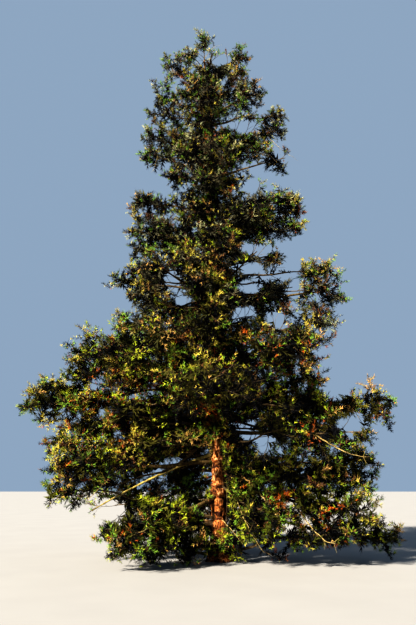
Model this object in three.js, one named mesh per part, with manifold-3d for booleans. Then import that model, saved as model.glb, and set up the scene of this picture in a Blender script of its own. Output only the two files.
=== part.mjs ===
// A Japanese cedar that stands alone in a lawn: one trunk, its main boughs, and masses of foliage.
// Millimetres. +Z is up, +X is the viewer's right, +Y is away from the viewer.
// The origin is the middle of the flat cut at ground level. Angles of boughs are degrees from +X towards +Y.
import * as THREE from "three";
import { mergeVertices } from "three/addons/utils/BufferGeometryUtils.js";
import Module from "manifold-3d";

const wasm = await Module();
wasm.setup();

// Trunk
const TREE_HEIGHT = 14900;
const TRUNK_HEIGHT = 13850;
const TRUNK_RADIUS = 205;
const TRUNK_TIP_RADIUS = 17;
const TRUNK_TAPER = 0.85;
const FLARE = 130;
const FLARE_HEIGHT = 330;
const BUTTRESSES = 5;
const BUTTRESS_SHARE = 0.32;
const LEAN = -420;
const LEAN_POWER = 1.3;
const TRUNK_SIDES = 15;
const TRUNK_STEPS = 17;
const TRUNK_STEP_POWER = 1.5;

// The stub of a broken limb, low on the trunk's left side
const STUB = { angle: 200, height: 800, length: 370, rise: 60, radius: 48, tipRadius: 34, sides: 6 };

// Limbs: gaps, then radii, then how far along its mass a stem starts and ends
const TRUNK_GAP = 0.3;
const LIMB_CLEARANCE = 2;
const BOUGH_FOOT_RADIUS = 56;
const STEM_FOOT_RADIUS = 40;
const STEM_TIP_RADIUS = 9;
const LONG_REACH = 2400;
const STEM_END = 0.55;
const FOLIAGE_START = 0.8;
const BOUGH_SIDES = 6;
const BOUGH_STEPS = 5;
const STEM_SIDES = 3;
const STEM_STEPS = 4;

// A limb that has lost its foliage, from the trunk down to the left
const BARE_BOUGH = {
  angle: 189,
  foot: 2450,
  reach: 2950,
  fall: 1330,
  hump: 110,
  footRadius: 44,
  tipRadius: 13,
};

// Twigs and sprays: how many, where on the wood they start, and how far back they are dealt
const SPRAYS_PER_METRE = 6.4;
const FEWEST_SPRAYS = 5;
const TWIGS = 2;
const TWIG_SHARE = 0.5;
const TWIG_RADIUS = 15;
const TWIG_TIP_RADIUS = 7;
const STEM_ROOTS = { from: 0.05, to: 0.97, count: 16 };
const TWIG_ROOTS = { from: 0.25, to: 0.96, count: 6 };
const BACK_LIMIT = 0.62;
const FORWARD_LEAN = 0.7;
const SPRAY_REACH = 0.95;
const ROOT_DEPTH = 10;
const GOLDEN_ANGLE = Math.PI * (3 - Math.sqrt(5));
const FIRST_SEED = 101;

// One spray, in shares of its length
const SPRAY_POINTS = 12;
const SPRAY_WIDTH = 0.66;
const SPRAY_THICKNESS = 0.022;
const SPRAY_STALK = 0.16;
const SPRAY_MIDDLE = 0.45;
const NOTCH_SHARE = 0.42;
const WIDTH_AT_STALK = 1.3;
const TOOTH_SWEEP = 0.12;
const TOOTH_DROOP = 0.07;
const SPRAY_ROLL = 1.1;

// A spray that leaves its mass's space, touches a limb or crosses another spray is tried again: rolled by
// each of these angles, then at the next share of its length
const ROLL_STEPS = [0, 0.9, 1.8, 2.5];
const SHRINK_STEPS = [1, 0.86, 0.72, 0.58, 0.45];
const CELL_MARGIN = 2;
const GROUND_MARGIN = 25;

// Making solids from curves, and random numbers
const METRE = 1000;
const MERGE_TOLERANCE = 1e-3;
const PATH_STEP = 1e-3;
const RANDOM_FACTOR = 1664525;
const RANDOM_STEP = 1013904223;
const UP = new THREE.Vector3(0, 0, 1);
const BACK = new THREE.Vector3(0, 1, 0);

// Each tier: how far its limbs start below the middle of their foliage, how steeply the foliage climbs
// outwards, and its masses: angle, distance out from the trunk, height, then the half sizes of the mass
// along its limb, across it and upwards.
const TIERS = {
  top: {
    drop: 850,
    slope: 0.6,
    masses: {
      right: [5, 930, 13930, 500, 470, 500],
      left: [178, 830, 13560, 620, 520, 580],
      front: [282, 560, 13200, 560, 620, 500],
      back: [97, 720, 13400, 580, 640, 560],
    },
  },
  upper: {
    drop: 560,
    slope: 0.3,
    masses: {
      right_high: [350, 1230, 12400, 580, 620, 540],
      right_middle: [9, 1830, 11560, 640, 700, 540],
      left_high: [188, 1130, 12380, 620, 620, 580],
      left_low: [172, 1420, 11250, 660, 740, 640],
      front: [262, 1250, 11600, 780, 900, 640],
      back_right: [60, 1450, 11500, 820, 900, 700],
      back_left: [122, 1450, 11900, 800, 900, 700],
    },
  },
  middle: {
    drop: 420,
    slope: 0.16,
    masses: {
      right_high: [350, 1700, 10250, 780, 640, 420],
      left_high: [174, 1720, 9250, 760, 880, 600],
      left_low: [196, 1620, 8120, 800, 880, 560],
      right: [3, 1960, 8930, 770, 860, 660],
      thin_right: [356, 1620, 7560, 520, 400, 300],
      front: [256, 1300, 9850, 880, 1080, 600],
      front_right: [310, 1500, 8450, 940, 940, 640],
      back_right: [56, 1950, 9300, 920, 1050, 720],
      back_left: [122, 2000, 9000, 920, 1050, 720],
    },
  },
  shoulder: {
    drop: 320,
    slope: 0.12,
    masses: {
      left: [180, 1950, 6850, 980, 930, 540],
      right_far: [358, 2920, 6550, 640, 820, 920],
      right: [344, 2250, 5480, 920, 880, 560],
      front_left: [234, 1950, 6600, 1020, 1040, 680],
      front_right: [298, 1700, 6850, 960, 980, 640],
      back_left: [124, 2350, 6700, 1040, 1200, 740],
      back_right: [57, 2450, 6800, 1020, 1200, 740],
    },
  },
  skirt: {
    drop: 60,
    slope: 0.04,
    masses: {
      left: [176, 2850, 5000, 1180, 1040, 640],
      front_left: [228, 2650, 4650, 1180, 1120, 680],
      front: [268, 1750, 5350, 900, 950, 560],
      front_right: [308, 2500, 4650, 1120, 1080, 680],
      right: [8, 2150, 4250, 880, 930, 840],
      back_right: [78, 3050, 4800, 1180, 1350, 760],
      back_left: [139, 3050, 4900, 1180, 1350, 760],
    },
  },
  hem: {
    drop: -160,
    slope: 0,
    masses: {
      left: [184, 3950, 3620, 1060, 930, 590],
      left_hanging: [206, 3250, 2080, 930, 830, 800],
      near_left: [203, 1750, 2750, 1000, 900, 600],
      near_right: [335, 1350, 2950, 760, 800, 480],
      right_far: [2, 3980, 3600, 560, 680, 700],
      right_front: [336, 3000, 2820, 930, 980, 720],
      front: [268, 3050, 3620, 1040, 1240, 600],
      back_left: [113, 3600, 3150, 1180, 1350, 720],
      back_right: [46, 3800, 3150, 1180, 1350, 720],
    },
  },
  foot: {
    drop: -620,
    slope: -0.1,
    masses: {
      left_front: [226, 2200, 880, 1250, 900, 720],
      right_near: [306, 1550, 1150, 860, 800, 860],
      right: [340, 2800, 1180, 1180, 980, 840],
      right_tip: [357, 3700, 560, 620, 560, 420],
      back_left: [143, 2850, 1250, 1240, 1400, 860],
      back_right: [74, 2750, 1250, 1240, 1400, 860],
    },
  },
};

// Limbs thick enough to stand as a piece of their own, from the trunk to where they enter their foliage
const MAIN_BOUGHS = [
  "shoulder_right_far",
  "skirt_left",
  "hem_left",
  "hem_left_hanging",
  "hem_right_far",
  "hem_right_front",
  "foot_left_front",
  "foot_right",
];

// The tuft on the leader, above the trunk's tip
const LEADER = { width: 350, height: 520, middle: 14400 };

const BARK = 0x8a5236;
const BOUGH_BARK = 0x7a6a45;
const FOLIAGE_TINTS = [0x4f5a24, 0x5c6128, 0x465220, 0x6a6432];
const BARK_ROUGHNESS = 0.9;
const FOLIAGE_ROUGHNESS = 0.8;

// Random numbers from 0 to 1 that are the same on every run
function seeded(seed) {
  let state = seed >>> 0;
  return () => {
    state = (Math.imul(state, RANDOM_FACTOR) + RANDOM_STEP) >>> 0;
    return state / 2 ** 32;
  };
}

function trunkAxis(height) {
  return new THREE.Vector3(LEAN * (height / TREE_HEIGHT) ** LEAN_POWER, 0, height);
}

function trunkRadius(height, angle) {
  const left = Math.max(1 - height / TRUNK_HEIGHT, 0);
  const stem = (TRUNK_RADIUS - TRUNK_TIP_RADIUS) * left ** TRUNK_TAPER;
  const flare = FLARE * Math.exp(-height / FLARE_HEIGHT);
  return TRUNK_TIP_RADIUS + stem + flare * (1 + BUTTRESS_SHARE * Math.cos(BUTTRESSES * angle));
}

function headingAt(degrees) {
  const turn = THREE.MathUtils.degToRad(degrees);
  return new THREE.Vector3(Math.cos(turn), Math.sin(turn), 0);
}

// A closed solid from a three.js geometry
function solidFrom(geometry) {
  geometry.deleteAttribute("normal");
  geometry.deleteAttribute("uv");
  const merged = mergeVertices(geometry, MERGE_TOLERANCE);
  return new wasm.Manifold(
    new wasm.Mesh({
      numProp: 3,
      vertProperties: merged.attributes.position.array,
      triVerts: new Uint32Array(merged.index.array),
    }),
  );
}

function geometryFrom(solid) {
  const mesh = solid.getMesh();
  const geometry = new THREE.BufferGeometry();
  geometry.setAttribute("position", new THREE.BufferAttribute(mesh.vertProperties, 3));
  geometry.setIndex(new THREE.BufferAttribute(mesh.triVerts, 1));
  geometry.computeVertexNormals();
  return geometry;
}

function directionAt(path, t) {
  return path(t + PATH_STEP).sub(path(t - PATH_STEP)).normalize();
}

// A cylinder bent along path(t) with radius(t, angle), where t runs from 0 at the foot to 1 at the tip.
// The path never runs along the side direction.
function bentLimb({ path, radius, sides, steps, side = UP }) {
  const geometry = new THREE.CylinderGeometry(1, 1, 1, sides, steps);
  const position = geometry.attributes.position;
  for (let i = 0; i < position.count; i++) {
    const t = position.getY(i) + 0.5;
    const angle = Math.atan2(position.getZ(i), position.getX(i));
    const size = Math.hypot(position.getX(i), position.getZ(i)) * radius(t, angle);
    const tangent = directionAt(path, t);
    const normal = new THREE.Vector3().crossVectors(side, tangent).normalize();
    const binormal = new THREE.Vector3().crossVectors(normal, tangent);
    const point = path(t)
      .addScaledVector(normal, size * Math.cos(angle))
      .addScaledVector(binormal, size * Math.sin(angle));
    position.setXYZ(i, point.x, point.y, point.z);
  }
  return solidFrom(geometry);
}

function straightLimb({ from, to, footRadius, tipRadius, sides }) {
  return bentLimb({
    path: (t) => from.clone().lerp(to, t),
    radius: (t) => footRadius + (tipRadius - footRadius) * t,
    sides,
    steps: 1,
  });
}

// The trunk on its flat cut, with its root flare and the broken stub
function makeTrunk(grow) {
  const heightAt = (t) => TRUNK_HEIGHT * Math.sign(t) * Math.abs(t) ** TRUNK_STEP_POWER;
  const column = bentLimb({
    path: (t) => trunkAxis(Math.max(heightAt(t), 0)).setZ(heightAt(t)),
    radius: (t, angle) => trunkRadius(heightAt(t), angle) + grow,
    sides: TRUNK_SIDES,
    steps: TRUNK_STEPS,
    side: BACK,
  });
  const from = trunkAxis(STUB.height);
  const stub = straightLimb({
    from,
    to: from.clone().addScaledVector(headingAt(STUB.angle), STUB.length).setZ(STUB.height + STUB.rise),
    footRadius: STUB.radius + grow,
    tipRadius: STUB.tipRadius + grow,
    sides: STUB.sides,
  });
  return column.trimByPlane([0, 0, 1], 0).add(stub);
}

// One mass with its frame (along the limb, across it, up) and the path of its limb from the trunk's axis,
// a parabola through the middle of the mass
function makeMass(tier, name, { drop, slope }, [degrees, out, up, along, across, thick]) {
  const heading = headingAt(degrees);
  const foot = trunkAxis(up - drop);
  const axisAlong = heading.clone().setZ(slope).normalize();
  const axisAcross = new THREE.Vector3().crossVectors(UP, heading);
  const reach = out + STEM_END * along;
  const middle = out / reach;
  const rise = drop + slope * STEM_END * along;
  const bend = (rise - drop / middle) / (1 - middle);
  return {
    name: `${tier}_${name}`,
    centre: foot.clone().addScaledVector(heading, out).setZ(up),
    half: [along, across, thick],
    frame: [axisAlong, axisAcross, new THREE.Vector3().crossVectors(axisAlong, axisAcross)],
    start: (out - FOLIAGE_START * along) / reach,
    reach,
    side: UP,
    path: (t) =>
      foot
        .clone()
        .addScaledVector(heading, reach * t)
        .setZ(foot.z + (rise - bend) * t + bend * t * t),
  };
}

// The tuft's stem stands on the trunk's tip and leans as the tip does
function makeLeader() {
  const top = trunkAxis(TRUNK_HEIGHT);
  const lean = directionAt(trunkAxis, TRUNK_HEIGHT);
  const reach = LEADER.middle + STEM_END * LEADER.height - TRUNK_HEIGHT;
  return {
    name: "leader",
    centre: top.clone().addScaledVector(lean, LEADER.middle - TRUNK_HEIGHT),
    half: [LEADER.height, LEADER.width, LEADER.width],
    frame: [lean, BACK, new THREE.Vector3().crossVectors(lean, BACK)],
    start: 0,
    reach,
    side: BACK,
    path: (t) => top.clone().addScaledVector(lean, TRUNK_GAP + reach * t),
  };
}

function listMasses() {
  const masses = Object.entries(TIERS).flatMap(([tier, shape]) =>
    Object.entries(shape.masses).map(([name, row]) => makeMass(tier, name, shape, row)),
  );
  masses.push(makeLeader());
  for (const mass of masses) mass.size = Math.cbrt(mass.half[0] * mass.half[1] * mass.half[2]);
  return masses;
}

// The limb of a mass between two places on its path, with the taper of the whole limb
function massLimb(mass, { from, to, footRadius, sides, steps, grow = 0 }) {
  const place = (t) => from + (to - from) * t;
  return bentLimb({
    path: (t) => mass.path(place(t)),
    radius: (t) => footRadius + (STEM_TIP_RADIUS - footRadius) * place(t) + grow,
    sides,
    steps,
    side: mass.side,
  });
}

function bareBough(grow) {
  const { angle, foot, reach, fall, hump, footRadius, tipRadius } = BARE_BOUGH;
  const heading = headingAt(angle);
  const start = trunkAxis(foot);
  return bentLimb({
    path: (t) =>
      start
        .clone()
        .addScaledVector(heading, reach * t)
        .setZ(foot - fall * t + 4 * hump * t * (1 - t)),
    radius: (t) => footRadius + (tipRadius - footRadius) * t + grow,
    sides: BOUGH_SIDES,
    steps: BOUGH_STEPS,
  });
}

// Point k of n dealt evenly over a mass's surface from its far end back towards the trunk
function dealtPoint(mass, k, n, turn) {
  const forward = 1 - (1 + BACK_LIMIT) * ((k + 0.5) / n);
  const ring = Math.sqrt(1 - forward * forward);
  const angle = turn + k * GOLDEN_ANGLE;
  const shares = [forward, ring * Math.cos(angle), ring * Math.sin(angle)];
  const point = mass.centre.clone();
  mass.frame.forEach((axis, i) => point.addScaledVector(axis, mass.half[i] * shares[i]));
  return point;
}

// Places on a limb or twig that something can grow from
function rootsAlong(path, { from, to, count }) {
  return Array.from({ length: count + 1 }, (_, i) => {
    const t = from + ((to - from) * i) / count;
    return { at: path(t), along: directionAt(path, t) };
  });
}

// Takes the place that a twig or spray to a point grows from: about its own length away, and behind the point
function takeRoot(roots, point, length) {
  let best = 0;
  let least = Infinity;
  roots.forEach((root, i) => {
    const away = point.clone().sub(root.at);
    const cost = Math.abs(away.length() - length) - FORWARD_LEAN * away.normalize().dot(root.along) * length;
    if (cost >= least) return;
    least = cost;
    best = i;
  });
  return roots.splice(best, 1)[0].at;
}

// One spray of needles, a toothed blade one unit long from its stalk at the origin to its tip on +X.
// The sphere's two poles become the middles of its faces, and its equator the toothed outline.
function makeBlade() {
  const geometry = new THREE.SphereGeometry(1, SPRAY_POINTS, 2);
  const position = geometry.attributes.position;
  const last = SPRAY_POINTS / 2;
  for (let i = 0; i < position.count; i++) {
    const face = Math.round(position.getY(i));
    if (face !== 0) {
      position.setXYZ(i, SPRAY_MIDDLE, 0, SPRAY_THICKNESS * face);
      continue;
    }
    const turn = Math.atan2(position.getZ(i), position.getX(i));
    const step = Math.round(Math.abs(turn) / (Math.PI / last));
    const isTooth = step % 2 === 0 && step > 0;
    const out = step === last ? 0 : 1 - ((1 - SPRAY_STALK) * step) / (last - 1);
    const share = step === 0 || step === last ? 0 : isTooth ? 1 : NOTCH_SHARE;
    const width = SPRAY_WIDTH * share * (WIDTH_AT_STALK - out);
    const swept = isTooth && step < last ? 1 : 0;
    position.setXYZ(i, out + TOOTH_SWEEP * swept, (-width / 2) * Math.sign(turn), -TOOTH_DROOP * swept);
  }
  return geometry;
}

const BLADE = makeBlade();

// The blade laid from one point to another and rolled about its length
function spraySolid(from, to, roll) {
  const along = to.clone().sub(from);
  const length = along.length();
  along.normalize();
  const upright = Math.hypot(along.x, along.y) < PATH_STEP;
  const side = new THREE.Vector3().crossVectors(upright ? BACK : UP, along).normalize();
  side.applyAxisAngle(along, roll);
  const place = new THREE.Matrix4().makeBasis(along, side, new THREE.Vector3().crossVectors(along, side));
  place.scale(new THREE.Vector3(length, length, length)).setPosition(from);
  return solidFrom(BLADE.clone().applyMatrix4(place));
}

// True if every corner of a solid lies nearer its own mass than any other, weighted by their sizes
function keepsToItsSpace(solid, mass, masses) {
  const mesh = solid.getMesh();
  const power = (other, point) => point.distanceToSquared(other.centre) - other.size * other.size;
  const point = new THREE.Vector3();
  for (let i = 0; i < mesh.numVert; i++) {
    point.fromArray(mesh.vertProperties, i * mesh.numProp);
    if (point.z < GROUND_MARGIN) return false;
    const own = power(mass, point);
    for (const other of masses) {
      if (other === mass) continue;
      const room = (power(other, point) - own) / (2 * other.centre.distanceTo(mass.centre));
      if (room < CELL_MARGIN) return false;
    }
  }
  return true;
}

function boxesMeet(a, b) {
  return [0, 1, 2].every((i) => a.min[i] <= b.max[i] && b.min[i] <= a.max[i]);
}

// A solid with its box, which rules out most pairs before they are cut
function boxed(solid) {
  return { solid, box: solid.boundingBox() };
}

function crosses(a, others) {
  return others.some((b) => boxesMeet(a.box, b.box) && a.solid.intersect(b.solid).volume() > 0);
}

// The stem, twigs and sprays of one mass, fused
function growMass(mass, seed, stem, masses, limbs) {
  const random = seeded(seed);
  const turn = random() * 2 * Math.PI;
  const otherLimbs = limbs.filter((limb) => limb.owner !== mass.name);
  const fits = (piece) => keepsToItsSpace(piece.solid, mass, masses) && !crosses(piece, otherLimbs);
  const wood = [stem];
  const sprays = [];
  const roots = rootsAlong(mass.path, { ...STEM_ROOTS, from: Math.max(mass.start, STEM_ROOTS.from) });
  const count = Math.max(FEWEST_SPRAYS, Math.round((SPRAYS_PER_METRE * mass.size) / METRE));
  const spread = Math.floor(count / TWIGS);
  const length = SPRAY_REACH * mass.size;

  for (let k = 0; k < TWIGS; k++) {
    const target = dealtPoint(mass, 1 + k * spread, count, turn);
    const from = takeRoot(roots, target, length);
    const to = from.clone().lerp(target, TWIG_SHARE);
    const twig = straightLimb({
      from,
      to,
      footRadius: TWIG_RADIUS,
      tipRadius: TWIG_TIP_RADIUS,
      sides: STEM_SIDES,
    });
    if (!fits(boxed(twig))) continue;
    wood.push(twig);
    roots.push(...rootsAlong((t) => from.clone().lerp(to, t), TWIG_ROOTS));
  }

  for (let k = 0; k < count; k++) {
    const target = dealtPoint(mass, k, count, turn);
    const roll = (2 * random() - 1) * SPRAY_ROLL;
    const root = takeRoot(roots, target, length);
    const away = target.clone().sub(root);
    const from = root.clone().addScaledVector(away.clone().normalize(), -ROOT_DEPTH);
    for (const [share, extra] of SHRINK_STEPS.flatMap((s) => ROLL_STEPS.map((r) => [s, r]))) {
      const spray = boxed(spraySolid(from, root.clone().addScaledVector(away, share), roll + extra));
      if (!fits(spray) || crosses(spray, sprays)) continue;
      sprays.push(spray);
      break;
    }
  }
  const loose = wasm.Manifold.union([...wood, ...sprays.map((spray) => spray.solid)]).decompose();
  return loose.reduce((a, b) => (a.volume() > b.volume() ? a : b));
}

const tree = new THREE.Group();

function addNode(name, solid, colour, roughness) {
  const material = new THREE.MeshStandardMaterial({ color: colour, roughness, metalness: 0 });
  const mesh = new THREE.Mesh(geometryFrom(solid), material);
  mesh.name = name;
  tree.add(mesh);
}

// Every limb is made twice: once as it is, and once a little thicker, for foliage to keep clear of
const masses = listMasses();
const trunkWithGap = makeTrunk(TRUNK_GAP);
const limbs = [
  { owner: "trunk", solid: makeTrunk(LIMB_CLEARANCE) },
  { owner: "bare", solid: bareBough(LIMB_CLEARANCE) },
];
const stems = new Map();
const boughs = new Map();
for (const mass of masses) {
  const isMain = MAIN_BOUGHS.includes(mass.name);
  const stemShape = {
    from: isMain ? mass.start + TRUNK_GAP / mass.reach : 0,
    to: 1,
    footRadius: isMain ? BOUGH_FOOT_RADIUS : STEM_FOOT_RADIUS * Math.min(1, mass.reach / LONG_REACH),
    sides: STEM_SIDES,
    steps: STEM_STEPS,
  };
  stems.set(mass.name, massLimb(mass, stemShape).subtract(trunkWithGap));
  limbs.push({ owner: mass.name, solid: massLimb(mass, { ...stemShape, grow: LIMB_CLEARANCE }) });
  if (!isMain) continue;
  const boughShape = {
    from: 0,
    to: mass.start,
    footRadius: BOUGH_FOOT_RADIUS,
    sides: BOUGH_SIDES,
    steps: BOUGH_STEPS,
  };
  boughs.set(mass.name, massLimb(mass, boughShape).subtract(trunkWithGap));
  limbs.push({ owner: "bough", solid: massLimb(mass, { ...boughShape, grow: LIMB_CLEARANCE }) });
}
for (const limb of limbs) limb.box = limb.solid.boundingBox();

addNode("trunk", makeTrunk(0), BARK, BARK_ROUGHNESS);
for (const [name, solid] of boughs) addNode(`bough_${name}`, solid, BOUGH_BARK, BARK_ROUGHNESS);
addNode("bough_bare", bareBough(0).subtract(trunkWithGap), BOUGH_BARK, BARK_ROUGHNESS);
masses.forEach((mass, i) => {
  const foliage = growMass(mass, FIRST_SEED + i, stems.get(mass.name), masses, limbs);
  addNode(`foliage_${mass.name}`, foliage, FOLIAGE_TINTS[i % FOLIAGE_TINTS.length], FOLIAGE_ROUGHNESS);
});

export default tree;
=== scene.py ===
"""A Japanese cedar dressed for rendering: bark relief on the trunk and boughs, and twigs, shoots and needles
in place of the masses of foliage. Metres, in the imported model's frame. The photograph looks along +Y."""

import math

import bpy
import numpy as np
from mathutils import Euler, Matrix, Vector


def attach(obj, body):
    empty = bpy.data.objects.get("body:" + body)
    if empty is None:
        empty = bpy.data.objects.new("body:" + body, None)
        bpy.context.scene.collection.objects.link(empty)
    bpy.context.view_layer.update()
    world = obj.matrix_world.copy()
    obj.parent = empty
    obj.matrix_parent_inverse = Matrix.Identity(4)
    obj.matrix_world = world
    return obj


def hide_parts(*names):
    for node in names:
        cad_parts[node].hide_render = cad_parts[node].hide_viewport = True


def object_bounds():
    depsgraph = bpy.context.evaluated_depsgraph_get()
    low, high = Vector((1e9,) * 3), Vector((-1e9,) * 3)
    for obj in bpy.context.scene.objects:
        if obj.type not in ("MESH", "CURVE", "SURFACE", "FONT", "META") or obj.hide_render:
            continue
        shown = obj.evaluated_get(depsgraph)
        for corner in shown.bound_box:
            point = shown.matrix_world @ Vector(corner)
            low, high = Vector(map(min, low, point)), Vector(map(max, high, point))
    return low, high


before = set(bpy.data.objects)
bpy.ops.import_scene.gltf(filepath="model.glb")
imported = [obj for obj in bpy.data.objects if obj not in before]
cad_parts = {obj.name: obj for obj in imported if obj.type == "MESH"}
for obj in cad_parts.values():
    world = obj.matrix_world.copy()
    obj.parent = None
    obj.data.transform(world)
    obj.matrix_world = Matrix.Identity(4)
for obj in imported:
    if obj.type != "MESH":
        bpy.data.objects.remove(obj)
cad_low, cad_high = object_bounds()

MM = 0.001
UP = np.array([0.0, 0.0, 1.0])
BACK = np.array([0.0, 1.0, 0.0])
GOLDEN_ANGLE = math.pi * (3 - math.sqrt(5))
FULL_TURN = 2 * math.pi
RIGHT_ANGLE = 90
TINY = 1e-9

# The trunk and its limbs, as in the model's source
TREE_HEIGHT = 14.9
TRUNK_HEIGHT = 13.85
TRUNK_RADIUS = 0.205
TRUNK_TIP_RADIUS = 0.017
TRUNK_TAPER = 0.85
FLARE = 0.13
FLARE_HEIGHT = 0.33
BUTTRESSES = 5
BUTTRESS_SHARE = 0.32
LEAN = -0.42
LEAN_POWER = 1.3
STUB = {"angle": 200, "height": 0.8, "length": 0.37, "rise": 0.06, "radius": 0.048, "tip": 0.034}
STUB_SWELLING = 1.75
BOUGH_FOOT_RADIUS = 0.056
STEM_FOOT_RADIUS = 0.040
STEM_TIP_RADIUS = 0.009
LONG_REACH = 2.4
STEM_END = 0.55
FOLIAGE_START = 0.8
# How far a limb sways from its smooth course, as a share of its reach, how often, how far round the sway
# starts for each degree of the limb's heading, and its upward part
LIMB_SWAY = 0.012
FILLER_SWAY = 0.03
SWAYS = 1.6
SWAY_TURNS = 5
SWAY_UPWARD = {"share": 0.6, "waves": 1.3}
BARE_BOUGH = {
    "angle": 189,
    "foot": 2.45,
    "reach": 2.95,
    "fall": 1.33,
    "hump": 0.11,
    "radius": 0.044,
    "tip": 0.013,
}
LEADER = {"width": 350, "height": 520, "middle": 14400}
MAIN_BOUGHS = [
    "shoulder_right_far",
    "skirt_left",
    "hem_left",
    "hem_left_hanging",
    "hem_right_far",
    "hem_right_front",
    "foot_left_front",
    "foot_right",
]

# Each tier: how far its limbs start below the middle of their foliage, how steeply the foliage climbs, and
# its masses: angle, distance out, height, then half sizes along the limb, across it and upwards, in
# millimetres
TIERS = {
    "top": (850, 0.6, {
        "right": (5, 930, 13930, 500, 470, 500),
        "left": (178, 830, 13560, 620, 520, 580),
        "front": (282, 560, 13200, 560, 620, 500),
        "back": (97, 720, 13400, 580, 640, 560),
    }),
    "upper": (560, 0.3, {
        "right_high": (350, 1230, 12400, 580, 620, 540),
        "right_middle": (9, 1830, 11560, 640, 700, 540),
        "left_high": (188, 1130, 12380, 620, 620, 580),
        "left_low": (172, 1420, 11250, 660, 740, 640),
        "front": (262, 1250, 11600, 780, 900, 640),
        "back_right": (60, 1450, 11500, 820, 900, 700),
        "back_left": (122, 1450, 11900, 800, 900, 700),
    }),
    "middle": (420, 0.16, {
        "right_high": (350, 1700, 10250, 780, 640, 420),
        "left_high": (174, 1720, 9250, 760, 880, 600),
        "left_low": (196, 1620, 8120, 800, 880, 560),
        "right": (3, 1960, 8930, 770, 860, 660),
        "thin_right": (356, 1620, 7560, 520, 400, 300),
        "front": (256, 1300, 9850, 880, 1080, 600),
        "front_right": (310, 1500, 8450, 940, 940, 640),
        "back_right": (56, 1950, 9300, 920, 1050, 720),
        "back_left": (122, 2000, 9000, 920, 1050, 720),
    }),
    "shoulder": (320, 0.12, {
        "left": (180, 1950, 6850, 980, 930, 540),
        "right_far": (358, 2920, 6550, 640, 820, 920),
        "right": (344, 2250, 5480, 920, 880, 560),
        "front_left": (234, 1950, 6600, 1020, 1040, 680),
        "front_right": (298, 1700, 6850, 960, 980, 640),
        "back_left": (124, 2350, 6700, 1040, 1200, 740),
        "back_right": (57, 2450, 6800, 1020, 1200, 740),
    }),
    "skirt": (60, 0.04, {
        "left": (176, 2850, 5000, 1180, 1040, 640),
        "front_left": (228, 2650, 4650, 1180, 1120, 680),
        "front": (268, 1750, 5350, 900, 950, 560),
        "front_right": (308, 2500, 4650, 1120, 1080, 680),
        "right": (8, 2150, 4250, 880, 930, 840),
        "back_right": (78, 3050, 4800, 1180, 1350, 760),
        "back_left": (139, 3050, 4900, 1180, 1350, 760),
    }),
    "hem": (-160, 0.0, {
        "left": (184, 3950, 3620, 1060, 930, 590),
        "left_hanging": (206, 3250, 2080, 930, 830, 800),
        "near_left": (203, 1750, 2750, 1000, 900, 600),
        "near_right": (335, 1350, 2950, 760, 800, 480),
        "right_far": (2, 3980, 3600, 560, 680, 700),
        "right_front": (336, 3000, 2820, 930, 980, 720),
        "front": (268, 3050, 3620, 1040, 1240, 600),
        "back_left": (113, 3600, 3150, 1180, 1350, 720),
        "back_right": (46, 3800, 3150, 1180, 1350, 720),
    }),
    "foot": (-620, -0.1, {
        "left_front": (226, 2200, 880, 1250, 900, 720),
        "right_near": (306, 1550, 1150, 860, 800, 860),
        "right": (340, 2800, 1180, 1180, 980, 840),
        "right_tip": (357, 3700, 560, 620, 560, 420),
        "back_left": (143, 2850, 1250, 1240, 1400, 860),
        "back_right": (74, 2750, 1250, 1240, 1400, 860),
    }),
}

# Growth. Plumes grow on a limb as the source's sprays do, twigs on a plume, shoots on a twig, and needles on
# a shoot. A bow, scatter, sag or lift is a share of the length of what bends.
FIRST_SEED = 101
# Places along a stem: how many, and the first, past the start of the foliage, and the last, as shares of it
STEM_PLACES = 48
STEM_FIRST = 0.05
STEM_LAST = 0.98
PLUMES_PER_AREA = 17.0
PLUME_POWER = 1.7
FILLER_SHARE = 0.6
FEWEST_PLUMES = 7
PLUME_BACK_LIMIT = 0.75
PLUME_LENGTH = 0.8
PLUME_SHARE = (0.62, 0.92)
PLUME_BOW = 0.16
PLUME_SCATTER = 0.05
LOWEST_PLUME = 0.16
# Plumes and dark sprays along a limb between the trunk and its mass
INNER_PER_METRE = 3.0
INNER_FROM = 0.3
INNER_REACH = (0.4, 0.85)
INNER_FORWARD = 0.35
# Where the trunk shows between the foliage before it, on the upright plane through it: height, left, right.
# Foliage further back than the last value may stand there.
TRUNK_WINDOW = [
    (0.74, -0.31, 0.08),
    (0.92, -0.31, 0.14),
    (0.96, -0.15, 0.15),
    (1.35, -0.14, 0.155),
    (1.57, -0.13, 0.13),
    (2.06, -0.15, 0.06),
    (2.40, -0.15, 0.01),
    (2.70, -0.14, -0.03),
]
TRUNK_WINDOW_BACK = 0.1
OUT_OF_SIGHT = 9
# The sunlight's way to the trunk: its heading, its rise, the lowest and highest place lit, and its half width
SUN_WAY = {
    "heading": (-0.656, -0.755),
    "rise": 0.6249,
    "heights": (0.68, 0.95, 1.05, 2.75),
    "half_widths": (0.30, 0.28, 0.13, 0.11),
    "start": 0.15,
}
BOUGH_CLEARING = {"half_height": 0.19, "behind": 0.2, "from": 0.10, "to": 1.0}
# How far round a bare limb foliage keeps away, as seen and on the sunlight's way to it, how far from it that
# starts, and the part of the bare bough that is lit: from, to and the number of places tried
LIMB_SHOWS = 0.055
LIMB_SUNLIT = 0.08
LIMB_BESIDE = 0.05
BARE_LIT = (0.2, 1, 30)
CAMERA_PLACE = (0, -15, 1.6)
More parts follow.
